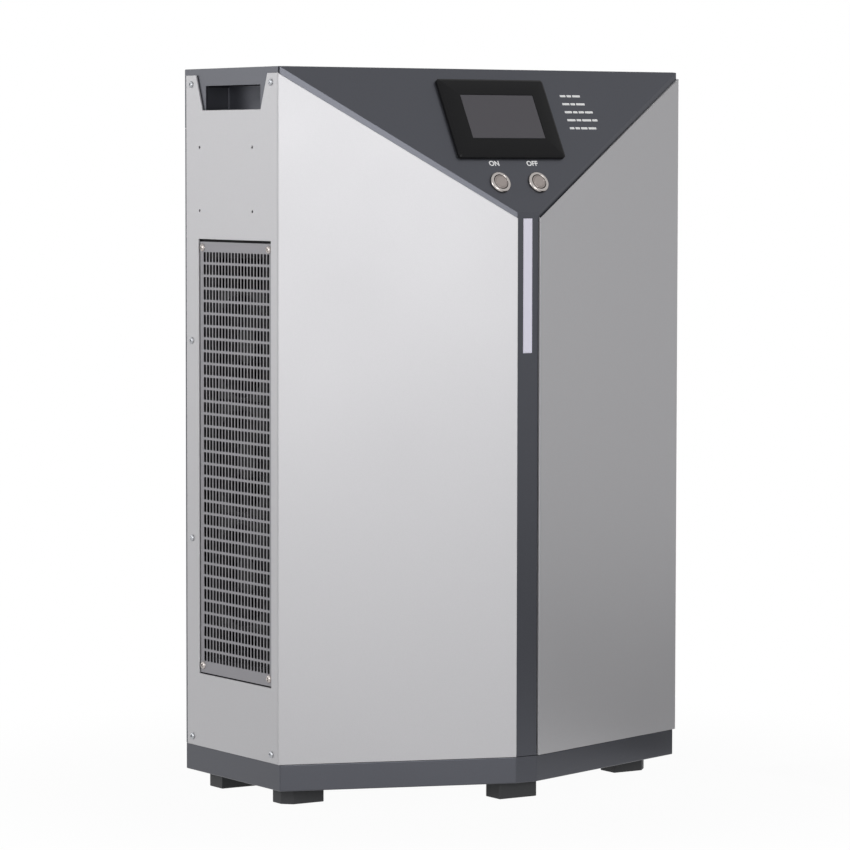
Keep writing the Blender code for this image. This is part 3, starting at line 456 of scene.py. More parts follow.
drawnAluminium = makeFinish("drawnAluminium", metalGrain, 0.00001, {
    "Color": (0.66, 0.67, 0.68),
    "Grain": 0.08,
    "Grain Scale": 900,
    "Roughness": 0.38,
    "Patches": 0.06,
    "Metallic": 1.0,
})
turnedNickel = makeFinish("turnedNickel", turnedGrain, 0.000004, {
    "Color": (0.43, 0.40, 0.385),
    "Grain": 0.05,
    "Ring Scale": 3200,
    "Roughness": 0.22,
    "Metallic": 1.0,
})
buttonFace = makeFinish("buttonFace", turnedGrain, 0.000006, {
    "Color": (0.31, 0.275, 0.26),
    "Grain": 0.16,
    "Ring Scale": 2600,
    "Roughness": 0.34,
    "Metallic": 1.0,
})
blackPlastic = makeFinish("blackPlastic", mouldedSkin, 0.00001, {
    "Color": (0.012, 0.012, 0.013),
    "Grain": 0.10,
    "Grain Scale": 1500,
    "Roughness": 0.42,
    "Bloom": 0.05,
    "Specular IOR Level": 0.12,
})
footRubber = makeFinish("footRubber", mouldedSkin, 0.00003, {
    "Color": (0.028, 0.029, 0.032),
    "Grain": 0.15,
    "Grain Scale": 900,
    "Roughness": 0.62,
    "Bloom": 0.12,
})
# opal diffuser with a painted glow: the emission brightens the bar, though its LEDs are unlit and it is no
# lamp
opalAcrylicPaintedGlow = makeFinish("opalAcrylicPaintedGlow", mouldedSkin, 0.000003, {
    "Color": (0.86, 0.84, 0.96),
    "Grain": 0.01,
    "Grain Scale": 700,
    "Roughness": 0.30,
    "Bloom": 0.015,
    # painted glow
    "Emission Color": (0.86, 0.84, 0.96),
    "Emission Strength": 0.22,
})
displayFilm = makeFinish("displayFilm", mouldedSkin, 0.000002, {
    "Color": (0.090, 0.085, 0.098),
    "Grain": 0.03,
    "Grain Scale": 2500,
    "Roughness": 0.40,
    "Bloom": 0.02,
})
solderMask = makeFinish("solderMask", mouldedSkin, 0.00002, {
    "Color": (0.02, 0.12, 0.05),
    "Grain": 0.10,
    "Grain Scale": 500,
    "Roughness": 0.35,
    "Bloom": 0.10,
})
# white print with a painted glow: the emission brightens the ink beyond what the lamps give it
printInkPaintedGlow = makeFinish("printInkPaintedGlow", mouldedSkin, 0.000004, {
    "Color": (0.95, 0.95, 0.95),
    "Grain": 0.03,
    "Grain Scale": 2000,
    "Roughness": 0.5,
    "Bloom": 0.02,
    # painted glow
    "Emission Color": (1, 1, 1),
    "Emission Strength": 0.25,
})
print("finishes mixed")


# Mesh helpers
def placePiece(name, mesh, material, body, replaced=(), place=None):
    piece = addObject(name, mesh)
    mesh.materials.clear()
    mesh.materials.append(material)
    if place is not None:
        piece.matrix_world = place
    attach(piece, body)
    if replaced:
        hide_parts(*replaced)


def plainMesh(helper):
    # the finished mesh of a helper object, which goes
    seen = helper.evaluated_get(bpy.context.evaluated_depsgraph_get())
    mesh = bpy.data.meshes.new_from_object(seen)
    bpy.data.objects.remove(helper, do_unlink=True)
    return mesh


def settle(name, mesh, kind, settings):
    # runs one modifier on a mesh and returns the result as a plain mesh
    helper = addObject(name, mesh)
    modifier = helper.modifiers.new(kind, kind)
    for label, value in settings.items():
        setattr(modifier, label, value)
    result = plainMesh(helper)
    result.name = name
    bpy.data.meshes.remove(mesh)
    return result


weldLimit = 0.00001
sheetThickness = 0.0023  # a face narrower than this is the cut edge of a sheet
shortEdge = 0.0040  # the rims of round holes stay crisp
edgeReach = 0.0004  # a point this near to a line belongs to it
endReach = 0.01  # the same along the line, as a share of its length


def moveEdge(shape, start, end, startRise, endRise):
    # lifts the points of one straight edge; start and end are given for the right-hand side
    start, end = Vector(start), Vector(end)
    line = end - start
    for vert in shape.verts:
        spot = Vector((abs(vert.co.x), vert.co.y, vert.co.z)) - start
        along = spot.dot(line) / line.length_squared
        if (spot - line * along).length < edgeReach and -endReach < along < 1 + endReach:
            vert.co.z += startRise + (endRise - startRise) * along


def faceWidth(face):
    return face.calc_area() / max(side.calc_length() for side in face.edges)


def softMesh(name, node, fold, edge, moved, crease):
    # copy of a CAD node with rounded folds and eased cut edges; crease is the least angle that is rounded
    shape = bmesh.new()
    shape.from_mesh(nodes[node].data)
    bmesh.ops.remove_doubles(shape, verts=shape.verts, dist=weldLimit)
    for line in moved:
        moveEdge(shape, **line)
    flat = math.radians(0.5)
    bmesh.ops.dissolve_limit(shape, angle_limit=flat, verts=shape.verts, edges=shape.edges)
    weights = shape.edges.layers.float.new("bevel_weight_edge")
    sharp = math.radians(crease)
    for line in shape.edges:
        if len(line.link_faces) != 2 or line.calc_face_angle(0) < sharp or line.calc_length() < shortEdge:
            continue
        cutEdge = min(faceWidth(face) for face in line.link_faces) < sheetThickness
        line[weights] = edge / fold if cutEdge else 1.0
    rounding = {
        "width": fold,
        "segments": 6,
        "limit_method": "WEIGHT",
        "miter_outer": "MITER_ARC",
        "loop_slide": True,
        "use_clamp_overlap": False,
    }
    mesh = settle(name, meshFrom(shape, name), "BEVEL", rounding)
    mesh.shade_smooth()
    mesh.set_sharp_from_angle(angle=math.radians(crease + 1.5))  # just above what one bevel step turns
    return settle(name, mesh, "WEIGHTED_NORMAL", {"keep_sharp": True, "weight": 100})


def softPiece(name, node, fold, edge, material, moved=(), crease=15):
    mesh = softMesh(name, node, fold, edge, moved, crease)
    placePiece(name, mesh, material, "cabinet", (node,))


def bridge(shape, lower, upper):
    # faces between two rings of points
    for step in range(len(lower)):
        after = (step + 1) % len(lower)
        shape.faces.new((lower[step], lower[after], upper[after], upper[step]))


def loft(name, loops, closed=False, smooth=40):
    # skin over loops of equal count, with both ends capped, or the last loop joined to the first
    shape = bmesh.new()
    rings = [[shape.verts.new(point) for point in loop] for loop in loops]
    for lower, upper in zip(rings, rings[1:]):
        bridge(shape, lower, upper)
    if closed:
        bridge(shape, rings[-1], rings[0])
    else:
        shape.faces.new(list(reversed(rings[0])))
        shape.faces.new(rings[-1])
    bmesh.ops.recalc_face_normals(shape, faces=shape.faces)
    mesh = meshFrom(shape, name)
    mesh.shade_smooth()
    mesh.set_sharp_from_angle(angle=math.radians(smooth))
    return mesh


def ring(radius, height, count):
    turns = [math.tau * step / count for step in range(count)]
    return [(radius * math.cos(turn), radius * math.sin(turn), height) for turn in turns]


def roundedLoop(width, depth, radius, height, centre=(0, 0), steps=6):
    # rounded rectangle as one loop of points
    points = []
    for corner, (side, up) in enumerate(((1, 1), (-1, 1), (-1, -1), (1, -1))):
        middle = (centre[0] + side * (width / 2 - radius), centre[1] + up * (depth / 2 - radius))
        for step in range(steps + 1):
            angle = math.pi / 2 * (corner + step / steps)
            across, along = radius * math.cos(angle), radius * math.sin(angle)
            points.append((middle[0] + across, middle[1] + along, height))
    return points


# Folded and painted sheets
# the front panels' upper edge meets the control panel's lip, which reaches down behind it;
# start and end are the ends of the straight edges that are raised or lowered
panelTop = {
    "start": (0.0145, -0.15983, 0.63222),
    "end": (0.2650, -0.07230, 0.78947),
    "startRise": 0.0048,
    "endRise": 0.0030,
}
panelReturn = {
    "start": (0.0145, -0.14767, 0.65406),
    "end": (0.0165, -0.14767, 0.65406),
    "startRise": -0.009,
    "endRise": -0.009,
}
lipFront = {
    "start": (0.0137, -0.15767, 0.63689),
    "end": (0.2627, -0.07067, 0.79320),
    "startRise": -0.004,
    "endRise": -0.004,
}
lipBack = {
    "start": (0.0137, -0.15555, 0.64070),
    "end": (0.25091, -0.07267, 0.78961),
    "startRise": -0.004,
    "endRise": -0.004,
}
movedEdges = {
    "frontPanelLeft": (panelTop, panelReturn),
    "frontPanelRight": (panelTop, panelReturn),
    "frontFascia": (lipFront, lipBack),
}
sheets = {
    "frontFascia": {"node": "front_fascia", "fold": 0.0006, "edge": 0.0003},
    "topCap": {"node": "top_cap", "fold": 0.0008, "edge": 0.0003},
    "rearPanel": {"node": "rear_panel", "fold": 0.0006, "edge": 0.0003},
    "baseTray": {"node": "base_tray", "fold": 0.0012, "edge": 0.0003},
    "frontPanelLeft": {"node": "front_panel_left", "fold": 0.0006, "edge": 0.0005},
    "frontPanelRight": {"node": "front_panel_right", "fold": 0.0006, "edge": 0.0005},
    "sidePanelLeft": {"node": "side_panel_left", "fold": 0.0006, "edge": 0.0005},
    "sidePanelRight": {"node": "side_panel_right", "fold": 0.0006, "edge": 0.0005},
    "lightBar": {"node": "light_strip", "fold": 0.0006, "edge": 0.0003},
}
for sheetName, sheet in sheets.items():
    finish, slot = gunmetalPaint, "gunmetal"
    if "Panel" in sheetName and sheetName != "rearPanel":
        finish, slot = silverPaint, "silver_paint"
    elif sheetName == "lightBar":
        finish, slot = opalAcrylicPaintedGlow, "opal_diffuser"
    moved = movedEdges.get(sheetName, ())
    softPiece(sheetName, sheet["node"], sheet["fold"], sheet["edge"], finish, moved)
foot = {"rounding": 0.0010, "crease": 25}
for spot in ("front_centre", "front_left", "front_right", "rear_left", "rear_right"):
    name = "foot" + "".join(word.capitalize() for word in spot.split("_"))
    rounding = foot["rounding"]
    softPiece(name, f"foot_{spot}", rounding, rounding, footRubber, crease=foot["crease"])
print("sheets folded")

# Hand pockets
pocket = {
    "wall": 0.0015,
    "corner": 0.0022,
    "fold": 0.0009,  # rounding between the walls and the floor
    "foldShare": 0.3,  # where the fold's middle point lies
}


def buildPocket(name, node, side, settings):
    low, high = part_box(node)
    mouth, back = (high.x, low.x) if side > 0 else (low.x, high.x)
    inward = -side
    wall, corner, fold = settings["wall"], settings["corner"], settings["fold"]
    middleFold = settings["foldShare"] * fold
    width, height = high.y - low.y, high.z - low.z
    centre = ((low.y + high.y) / 2, (low.z + high.z) / 2)

    def station(across, inset, radius):
        loop = roundedLoop(width - 2 * inset, height - 2 * inset, radius, 0, centre)
        return [(across, y, z) for y, z, _ in loop]

    floor = back - inward * wall
    loops = [
        station(back, fold, corner),
        station(back - inward * fold, 0, corner + wall),
        station(mouth, 0, corner + wall),
        station(mouth, wall, corner),
        station(floor - inward * fold, wall, corner),
        station(floor - inward * middleFold, wall + middleFold, corner),
        station(floor, wall + fold, corner),
    ]
    placePiece(name, loft(name, loops), gunmetalPaint, "cabinet", (node,))


buildPocket("handPocketLeft", "handle_pocket_left", -1, pocket)
buildPocket("handPocketRight", "handle_pocket_right", 1, pocket)
print("pockets folded")

# Slotted grilles
grille = {
    "columns": 21,
    "rows": 33,
    "pitch": 0.00686,
    "rowPitch": 0.01384,
    "slotWidth": 0.0051,
    "slotHeight": 0.0113,
    "corner": 0.0014,
    "easing": 0.00015,
    "sheet": 0.0006,
    "fieldRise": 0.0009,  # the field sits a little above the plate's middle
    "fieldForward": 0.0015,
    "screwHole": 0.0022,
    "holePoints": 24,
    "cornerSteps": 2,
}


def grilleCell(shape, middle, cell, settings, face, back):
    # one slot with its share of the plate, as loops from the front edge to the back edge
    width, height, corner = settings["slotWidth"], settings["slotHeight"], settings["corner"]
    easing, steps = settings["easing"], settings["cornerSteps"]
    inward = easing if face > back else -easing
    slot = roundedLoop(width, height, corner, 0, middle, steps)
    wide = roundedLoop(width + 2 * easing, height + 2 * easing, corner + easing, 0, middle, steps)
    border = []
    for number, (side, up) in enumerate(((1, 1), (-1, 1), (-1, -1), (1, -1))):
        edgeX, edgeY = middle[0] + side * cell[0] / 2, middle[1] + up * cell[1] / 2
        near = wide[number * (steps + 1):(number + 1) * (steps + 1)]
        first, last = near[0], near[-1]
        if number % 2 == 0:
            border += [(edgeX, first[1]), (edgeX, edgeY), (last[0], edgeY)]
        else:
            border += [(first[0], edgeY), (edgeX, edgeY), (edgeX, last[1])]
    levels = [
        [(face, x, y) for x, y in border],
        [(face, x, y) for x, y, _ in wide],
        [(face - inward, x, y) for x, y, _ in slot],
        [(back, x, y) for x, y, _ in slot],
        [(back, x, y) for x, y in border],
    ]
    rings = [[shape.verts.new(point) for point in level] for level in levels]
    for lower, upper in zip(rings, rings[1:]):
        bridge(shape, lower, upper)


def holedMargin(shape, plane, low, high, inside, holes, radius, steps):
    # flat plate margin round the slot field, with a round hole in each corner; returns its outlines
    curve = bpy.data.curves.new("grilleMargin", "CURVE")
    curve.dimensions = "2D"
    curve.fill_mode = "BOTH"
    outlines = [[(low[0], low[1]), (high[0], low[1]), (high[0], high[1]), (low[0], high[1])], inside]
    for across, up in holes:
        outlines.append([(across + x, up + y) for x, y, _ in ring(radius, 0, steps)])
    for outline in outlines:
        spline = curve.splines.new("POLY")
        spline.points.add(len(outline) - 1)
        for point, (across, up) in zip(spline.points, outline):
            point.co = (across, up, 0, 1)
        spline.use_cyclic_u = True
    flat = plainMesh(addObject("grilleMargin", curve))
    verts = [shape.verts.new((plane, vert.co.x, vert.co.y)) for vert in flat.vertices]
    for polygon in flat.polygons:
        shape.faces.new([verts[index] for index in polygon.vertices])
    bpy.data.meshes.remove(flat)
    return outlines


def buildGrille(name, node, settings, side):
    low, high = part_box(node)
    face = high.x if side > 0 else low.x
    back = face - side * settings["sheet"]
    screws = [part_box(f"grille_screw_{'right' if side > 0 else 'left'}_{number}") for number in range(1, 5)]
    spots = [((one.y + two.y) / 2, (one.z + two.z) / 2) for one, two in screws]
    middle = ((low.y + high.y) / 2 - settings["fieldForward"], (low.z + high.z) / 2 + settings["fieldRise"])
    columns, rows = settings["columns"], settings["rows"]
    cell = (settings["pitch"], settings["rowPitch"])
    shape = bmesh.new()
    for column in range(columns):
        for row in range(rows):
            across = middle[0] + (column - (columns - 1) / 2) * cell[0]
            up = middle[1] + (row - (rows - 1) / 2) * cell[1]
            grilleCell(shape, (across, up), cell, settings, face, back)
    # the margin takes every border point of the outer cells, so that the skin closes
    bmesh.ops.remove_doubles(shape, verts=shape.verts, dist=weldLimit)
    fieldLow = (middle[0] - columns * cell[0] / 2, middle[1] - rows * cell[1] / 2)
    fieldHigh = (middle[0] + columns * cell[0] / 2, middle[1] + rows * cell[1] / 2)

    def onRim(vert):
        near = min(abs(vert.co.y - fieldLow[0]), abs(vert.co.y - fieldHigh[0]),
                   abs(vert.co.z - fieldLow[1]), abs(vert.co.z - fieldHigh[1]))
        return near < weldLimit and abs(vert.co.x - face) < weldLimit

    def around(point):
        return math.atan2((point[1] - middle[1]) / (fieldHigh[1] - middle[1]),
                          (point[0] - middle[0]) / (fieldHigh[0] - middle[0]))

    rim = sorted([(vert.co.y, vert.co.z) for vert in shape.verts if onRim(vert)], key=around)
    corners = ((low.y, low.z), (high.y, high.z))
    for plane in (face, back):
        holes = (spots, settings["screwHole"], settings["holePoints"])
        outlines = holedMargin(shape, plane, *corners, rim, *holes)
    for outline in [outlines[0], *outlines[2:]]:
        front = [shape.verts.new((face, across, up)) for across, up in outline]
        rear = [shape.verts.new((back, across, up)) for across, up in outline]
        bridge(shape, front, rear)
    bmesh.ops.remove_doubles(shape, verts=shape.verts, dist=weldLimit)
    bmesh.ops.recalc_face_normals(shape, faces=shape.faces)
    placePiece(name, meshFrom(shape, name), grillePaint, "cabinet", (node,))


buildGrille("slottedGrilleLeft", "grille_left", grille, -1)
buildGrille("slottedGrilleRight", "grille_right", grille, 1)
print("grilles punched")

# Screws with a cross recess
screwShape = {
    "head": 0.0038,
    "dome": 0.0022,
    "recessReach": 0.0021,
    "recessWidth": 0.00055,
    "recessDepth": 0.0014,
    "recessTaper": (0.7, 0.8),  # the recess's floor as a share of its reach and width
    "rimAngle": 8,  # degrees up the dome, where it starts
    "topAngle": 56,  # and where it turns flat
    "domeSteps": 6,
    "underHead": 0.97,  # share of the head's radius
    "lift": 0.0003,  # of the head's edge above the sheet
    "shank": 0.002,
    "length": 0.0035,
    "points": 64,
}


def crossLoop(reach, width, height, count):
    points = []
    for step in range(count):
        angle = math.tau * step / count
        near = abs((angle + math.pi / 4) % (math.pi / 2) - math.pi / 4)
        side = width / max(math.sin(near), 0.0001)  # kept finite along the arm's middle
        radius = min(reach / math.cos(near), side)
        points.append((radius * math.cos(angle), radius * math.sin(angle), height))
    return points


def screwMesh(name, settings):
    head, dome, count = settings["head"], settings["dome"], settings["points"]
    reach, width = settings["recessReach"], settings["recessWidth"]
    reachShare, widthShare = settings["recessTaper"]
    lift, shank, steps = settings["lift"], settings["shank"], settings["domeSteps"]
    first, last = settings["rimAngle"], settings["topAngle"]
    loops = [ring(shank, -settings["length"], count), ring(shank, lift, count)]
    loops.append(ring(head * settings["underHead"], lift, count))
    for step in range(steps + 1):
        angle = math.radians(first + (last - first) * step / steps)
        rise = math.sin(angle) / math.sin(math.radians(last))
        radius = head * math.cos(angle) / math.cos(math.radians(first))
        loops.append(ring(radius, lift + (dome - lift) * rise, count))
    loops.append(crossLoop(reach, width, dome, count))
    loops.append(crossLoop(reachShare * reach, widthShare * width, dome - settings["recessDepth"], count))
    return loft(name, loops, smooth=35)


def driverTurn(number, sign):
    # each screw stops at its own angle
    return Matrix.Rotation(math.radians(37 * number + 11 * sign), 4, "Z")


def addScrews(kind, total, material, settings):
    for side, sign in (("left", -1), ("right", 1)):
        outward = Matrix.Rotation(sign * math.pi / 2, 4, "Y")
        for number in range(1, total + 1):
            node = f"{kind}_screw_{side}_{number}"
            low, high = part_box(node)
            tip = (high.x if sign > 0 else low.x) - sign * settings["dome"]
            middle = (low + high) / 2
            place = Matrix.Translation((tip, middle.y, middle.z)) @ outward @ driverTurn(number, sign)
            name = f"{kind}Screw{side.capitalize()}{number}"
            placePiece(name, screwMesh(name, settings), material, "cabinet", (node,), place)


grilleScrewShape = {
    **screwShape,
    "head": 0.0045,
    "dome": 0.0029,
    "recessReach": 0.0026,
    "recessWidth": 0.0007,
}
addScrews("side", 6, zincPlate, screwShape)
addScrews("grille", 4, turnedNickel, grilleScrewShape)
rearScrews = {
    "spots": ((-0.252, 0.068), (-0.252, 0.300), (-0.252, 0.535), (-0.252, 0.768), (0, 0.768),
              (0.252, 0.768), (0.252, 0.535), (0.252, 0.300), (0.252, 0.068), (0, 0.068)),
    "shape": {**screwShape, "length": 0.0012},
    "turnStep": 41,  # degrees from one screw's recess to the next
}


def addRearScrews(settings):
    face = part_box("rear_panel")[1].y
    outward = Matrix.Rotation(-math.pi / 2, 4, "X")
    mesh = screwMesh("rearScrew", settings["shape"])
    for number, (across, up) in enumerate(settings["spots"], 1):
        turn = Matrix.Rotation(math.radians(settings["turnStep"] * number), 4, "Z")
        place = Matrix.Translation((across, face, up)) @ outward @ turn
        placePiece(f"rearScrew{number}", mesh.copy(), zincPlate, "cabinet", (), place)
    bpy.data.meshes.remove(mesh)


addRearScrews(rearScrews)
print("screws set")

# Operator panel
panelShape = {
    "corner": 0.0035,
    "seat": 0.0003,  # the bezel's back edge above the sheet
    "backInset": 0.001,
    "bevel": 0.0026,
    "bevelDepth": 0.0015,
    "bevelCorner": 0.5,  # share of the outer corner's radius
    "outerEasing": (0.00015, 0.0002),  # in and down, where the side meets the bevel
    "innerEasing": (0.00015, 0.0001),  # the same where the bevel meets the flat front
    "openingEasing": 0.0003,
    "openingDepth": 0.0001,  # below the glass
    "glassCorner": 0.0006,
    "glassEasing": 0.0002,
    "gap": 0.0002,  # round the glass
    "sink": 0.0002,  # of the glass below the bezel
    "bodyInset": 0.005,
    "bodyCorner": 0.002,
}


def buildScreen(settings):
    low, high = slopeBox("screen_housing")
    glassLow, glassHigh = slopeBox("screen_glass")
    middle, glassMiddle = (low + high) / 2, (glassLow + glassHigh) / 2
    front, seat, corner = high.z, settings["seat"], settings["corner"]

    def frameLoop(inset, radius, height):
        return roundedLoop(high.x - low.x - 2 * inset, high.y - low.y - 2 * inset, radius, height, middle[:2])

    def glassLoop(margin, radius, height):
        width, depth = glassHigh.x - glassLow.x, glassHigh.y - glassLow.y
        return roundedLoop(width + 2 * margin, depth + 2 * margin, radius, height, glassMiddle[:2])

    bevel, bevelCorner = settings["bevel"], settings["bevelCorner"] * corner
    bevelFoot = front - settings["bevelDepth"]
    outerIn, outerDown = settings["outerEasing"]
    innerIn, innerDown = settings["innerEasing"]
    gap, easing, glassCorner = settings["gap"], settings["openingEasing"], settings["glassCorner"]
    loops = [
        frameLoop(settings["backInset"], corner, seat),
        frameLoop(0, corner, seat),
        frameLoop(0, corner, bevelFoot - outerDown),
        frameLoop(outerIn, corner, bevelFoot),
        frameLoop(bevel - innerIn, bevelCorner, front - innerDown),
        frameLoop(bevel + innerIn, bevelCorner, front),
        glassLoop(gap + easing, glassCorner + easing, front),
        glassLoop(gap, glassCorner, front - easing),
        glassLoop(gap, glassCorner, glassLow.z - settings["openingDepth"]),
    ]
    bezel, replaced = loft("screenBezel", loops, smooth=19), ("screen_housing",)
    placePiece("screenBezel", bezel, blackPlastic, "cabinet", replaced, slopeFrame)
    inset, radius = settings["bodyInset"], settings["bodyCorner"]
    body = loft("screenBody", [frameLoop(inset, radius, low.z), frameLoop(inset, radius, seat)])
    placePiece("screenBody", body, blackPlastic, "cabinet", (), slopeFrame)
    top, edge = glassHigh.z - settings["sink"], settings["glassEasing"]
    film = [
        glassLoop(0, glassCorner, glassLow.z),
        glassLoop(0, glassCorner, top - edge),
        glassLoop(-edge, glassCorner, top),
    ]
    glass = loft("displayWindow", film, smooth=30)
    placePiece("displayWindow", glass, displayFilm, "cabinet", ("screen_glass",), slopeFrame)


buildScreen(panelShape)

# Push buttons
buttonShape = {
    "points": 72,
    "seat": 0.0003,  # the ring's back edge above the sheet
    "barrel": 0.0108,
    "barrelChamfer": 0.0006,
    "innerBarrel": 0.6,  # share of the bore's radius
    "ringChamfer": 0.0004,
    "ringSlope": 0.0012,
    "shoulder": ((0, 0.42), (0.3, 0.70), (0.8, 0.92), (1.3, 1)),  # shares of the slope's width and the height
    "lip": ((0.0011, 0), (0.0006, 0.0001), (0.0001, 0.0006), (0, 0.0011)),  # out from the bore, down
    "gap": 0.0006,  # between the cap and the bore
    "room": 0.0024,  # below the cap at rest
    "pole": 0.0004,
    "capChamfer": 0.0003,
    "capEdge": ((0, 0.0005), (0.0002, 0.00015), (0.0005, 0)),  # in from the cap's edge, down from its face
    "grooveRadius": 0.0068,
    "groove": ((0, 0), (0.0002, 0.0003), (0.0006, 0.0003), (0.0008, 0)),  # in from its radius, down the face
    "dish": 0.00005,
}


def buildButton(word, settings):
    low, high = slopeBox(f"{word}_button_body")
    capLow, capHigh = slopeBox(f"{word}_button_cap")
    middle, count = (low + high) / 2, settings["points"]
    outer, capRadius = (high.x - low.x) / 2, (capHigh.x - capLow.x) / 2
    bore = capRadius + settings["gap"]
    barrel, chamfer, inner = settings["barrel"], settings["barrelChamfer"], settings["innerBarrel"] * bore
    seat, ease, front, slope = settings["seat"], settings["ringChamfer"], high.z, settings["ringSlope"]
    profile = [(inner, low.z), (barrel - chamfer, low.z), (barrel, low.z + chamfer), (barrel, seat)]
    profile += [(outer - ease, seat), (outer, seat + ease)]
    profile += [(outer - share * slope, front * height) for share, height in settings["shoulder"]]
    profile += [(bore + out, front - down) for out, down in settings["lip"]]
    profile += [(bore, capLow.z - settings["room"]), (inner, capLow.z - settings["room"])]
    place = slopeFrame @ Matrix.Translation((middle.x, middle.y, 0))
    name, replaced = f"{word}ButtonRing", (f"{word}_button_body",)
    body = loft(name, [ring(radius, height, count) for radius, height in profile], closed=True, smooth=38)
    placePiece(name, body, turnedNickel, "cabinet", replaced, place)
    capFront, pole, chamfer = capHigh.z, settings["pole"], settings["capChamfer"]
    face = [(pole, capLow.z), (capRadius - chamfer, capLow.z), (capRadius, capLow.z + chamfer)]
    face += [(capRadius - inward, capFront - down) for inward, down in settings["capEdge"]]
    face += [(settings["grooveRadius"] - inward, capFront - down) for inward, down in settings["groove"]]
    face.append((pole, capFront - settings["dish"]))
    name, replaced = f"{word}ButtonFace", (f"{word}_button_cap",)
    cap = loft(name, [ring(radius, height, count) for radius, height in face], smooth=25)
    placePiece(name, cap, buttonFace, f"{word}_button", replaced, place)


buildButton("start", buttonShape)
buildButton("stop", buttonShape)
print("operator panel fitted")

# Printed marks: generic shapes only
marks = {
    "thick": 0.00006,
    "lift": 0.00002,
    "wordHeight": 0.0084,
    "wordWeight": 0.00022,
    "wordDown": 0.1188,
    "rowStart": 0.0905,
    "rowTop": 0.0330,
    "rowPitch": 0.0102,
    "dashHeight": 0.0026,
    "rowDashes": ((0.0075, 0.0060, 0.0105), (0.0095, 0.0060, 0.0115), (0.0095, 0.0060, 0.0070, 0.0105),
                  (0.0110, 0.0060, 0.0120, 0.0070), (0.0060, 0.0060, 0.0085, 0.0105)),
    "dashGap": 0.0016,
    "weld": 0.000001,
}


def wordMesh(text, centre, settings):
    curve = bpy.data.curves.new("markWord", "FONT")
    curve.body = text
    curve.size = settings["wordHeight"]
    curve.align_x = "CENTER"
    curve.align_y = "CENTER"
    curve.extrude = settings["thick"] / 2
    curve.offset = settings["wordWeight"]
    mesh = plainMesh(addObject("markWord", curve))
    mesh.transform(Matrix.Translation((*centre, settings["lift"] + settings["thick"] / 2)))
    return mesh


def addDash(shape, low, high):
    made = bmesh.ops.create_cube(shape, size=1.0)["verts"]
    for vert in made:
        vert.co = Vector([high[axis] if vert.co[axis] > 0 else low[axis] for axis in range(3)])


def addMarks(settings):
    shape = bmesh.new()
    for text, node in (("ON", "start_button_body"), ("OFF", "stop_button_body")):
        low, high = slopeBox(node)
        mesh = wordMesh(text, ((low.x + high.x) / 2, -settings["wordDown"]), settings)
        shape.from_mesh(mesh)
        bpy.data.meshes.remove(mesh)
    bottom, top = settings["lift"], settings["lift"] + settings["thick"]
    for row, dashes in enumerate(settings["rowDashes"]):
        down = settings["rowTop"] + row * settings["rowPitch"]
        across = settings["rowStart"]
        for dash in dashes:
            low = (across, -down - settings["dashHeight"] / 2, bottom)
            high = (across + dash, -down + settings["dashHeight"] / 2, top)
            addDash(shape, low, high)
            across += dash + settings["dashGap"]
    bmesh.ops.remove_doubles(shape, verts=shape.verts, dist=settings["weld"])
    mesh = meshFrom(shape, "panelMarks")
    placePiece("panelMarks", mesh, printInkPaintedGlow, "cabinet", (), slopeFrame)


addMarks(marks)
print("marks printed")

# Cable glands on the back
glandShape = {
    "points": 96,
    "hexMargin": 0.012,  # from the bore to the corners of the hexagon
    "wall": 0.004,
    "flange": 0.010,  # height of the hexagon
    "seat": 0.0003,
    "ease": 0.0008,
    "cornerCut": 0.0006,  # off the hexagon's corners
    "ribs": 12,
    "ribDepth": 0.0007,
    "ribStart": (0.0004, 0.0006),  # in and up from where the nut meets the hexagon
    "topEasing": 0.0012,
    "neckEasing": (0.0006, 0.0004),
}


def hexLoop(reach, height, count, cornerCut):
    points = []
    for step in range(count):
        angle = math.tau * step / count
        near = (angle % (math.pi / 3)) - math.pi / 6
        radius = min(reach * math.cos(math.pi / 6) / math.cos(near), reach - cornerCut)
        points.append((radius * math.cos(angle), radius * math.sin(angle), height))
    return points


def ribbedLoop(radius, depth, ribs, height, count):
    points = []
    for step in range(count):
        angle = math.tau * step / count
        dip = depth * (0.5 + 0.5 * math.cos(ribs * angle)) ** 4
        points.append(((radius - dip) * math.cos(angle), (radius - dip) * math.sin(angle), height))
    return points


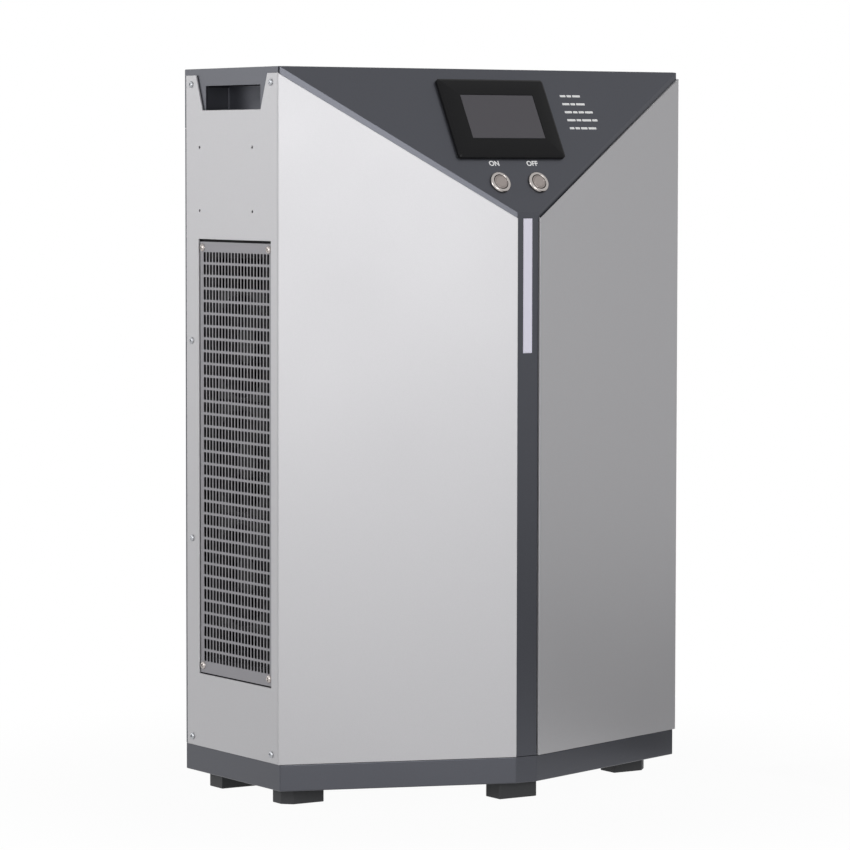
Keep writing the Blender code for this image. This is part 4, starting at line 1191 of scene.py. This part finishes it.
def buildGland(name, node, settings):
    low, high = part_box(node)
    middle = (low + high) / 2
    reach = max(high.x - low.x, high.z - low.z) / 2
    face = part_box("rear_panel")[1].y
    length, back = high.y - face, low.y - face
    wall, flange, seat, ease = [settings[key] for key in ("wall", "flange", "seat", "ease")]
    count, ribs, dip, cut = [settings[key] for key in ("points", "ribs", "ribDepth", "cornerCut")]
    bore = reach - settings["hexMargin"]
    neck, nut, top = bore + wall, bore + 2 * wall, settings["topEasing"]
    ribIn, ribUp = settings["ribStart"]
    neckOut, neckDown = settings["neckEasing"]
    loops = [
        ring(bore, back, count),
        ring(neck, back, count),
        ring(neck, seat, count),
        hexLoop(reach - ease, seat, count, cut),
        hexLoop(reach, seat + ease, count, cut),
        hexLoop(reach, flange - ease, count, cut),
        hexLoop(reach - ease, flange, count, cut),
        ring(nut - ribIn, flange, count),
        ribbedLoop(nut, dip, ribs, flange + ribUp, count),
        ribbedLoop(nut, dip, ribs, length - wall, count),
        ribbedLoop(nut - top, dip, ribs, length - 0.5 * wall, count),
        ring(neck + neckOut, length - neckDown, count),
        ring(neck, length, count),
        ring(bore + neckOut, length, count),
        ring(bore, length - neckOut, count),
    ]
    turn = Matrix.Rotation(-math.pi / 2, 4, "X") @ Matrix.Rotation(math.pi / 6, 4, "Z")
    place = Matrix.Translation((middle.x, face, middle.z)) @ turn
    mesh = loft(name, loops, closed=True, smooth=35)
    placePiece(name, mesh, blackPlastic, "cabinet", (node,), place)


buildGland("mainsGlandNut", "mains_gland", glandShape)
buildGland("outputGlandNut", "output_gland", glandShape)
print("glands fitted")

# Inner pieces keep their CAD shape and take a finish
innerFinishes = {
    # the chassis takes the near-black painted shade
    "chassis_frame": frameBlackPaintedShade,
    "control_board": solderMask,
    "mains_contactor": blackPlastic,
    "output_contactor": blackPlastic,
}
for number in range(1, 4):
    innerFinishes[f"power_module_{number}"] = drawnAluminium
    innerFinishes[f"fan_frame_{number}"] = blackPlastic
    innerFinishes[f"fan_rotor_{number}"] = blackPlastic
for node, finish in innerFinishes.items():
    nodes[node].data.materials.clear()
    nodes[node].data.materials.append(finish)
print("inner pieces finished")
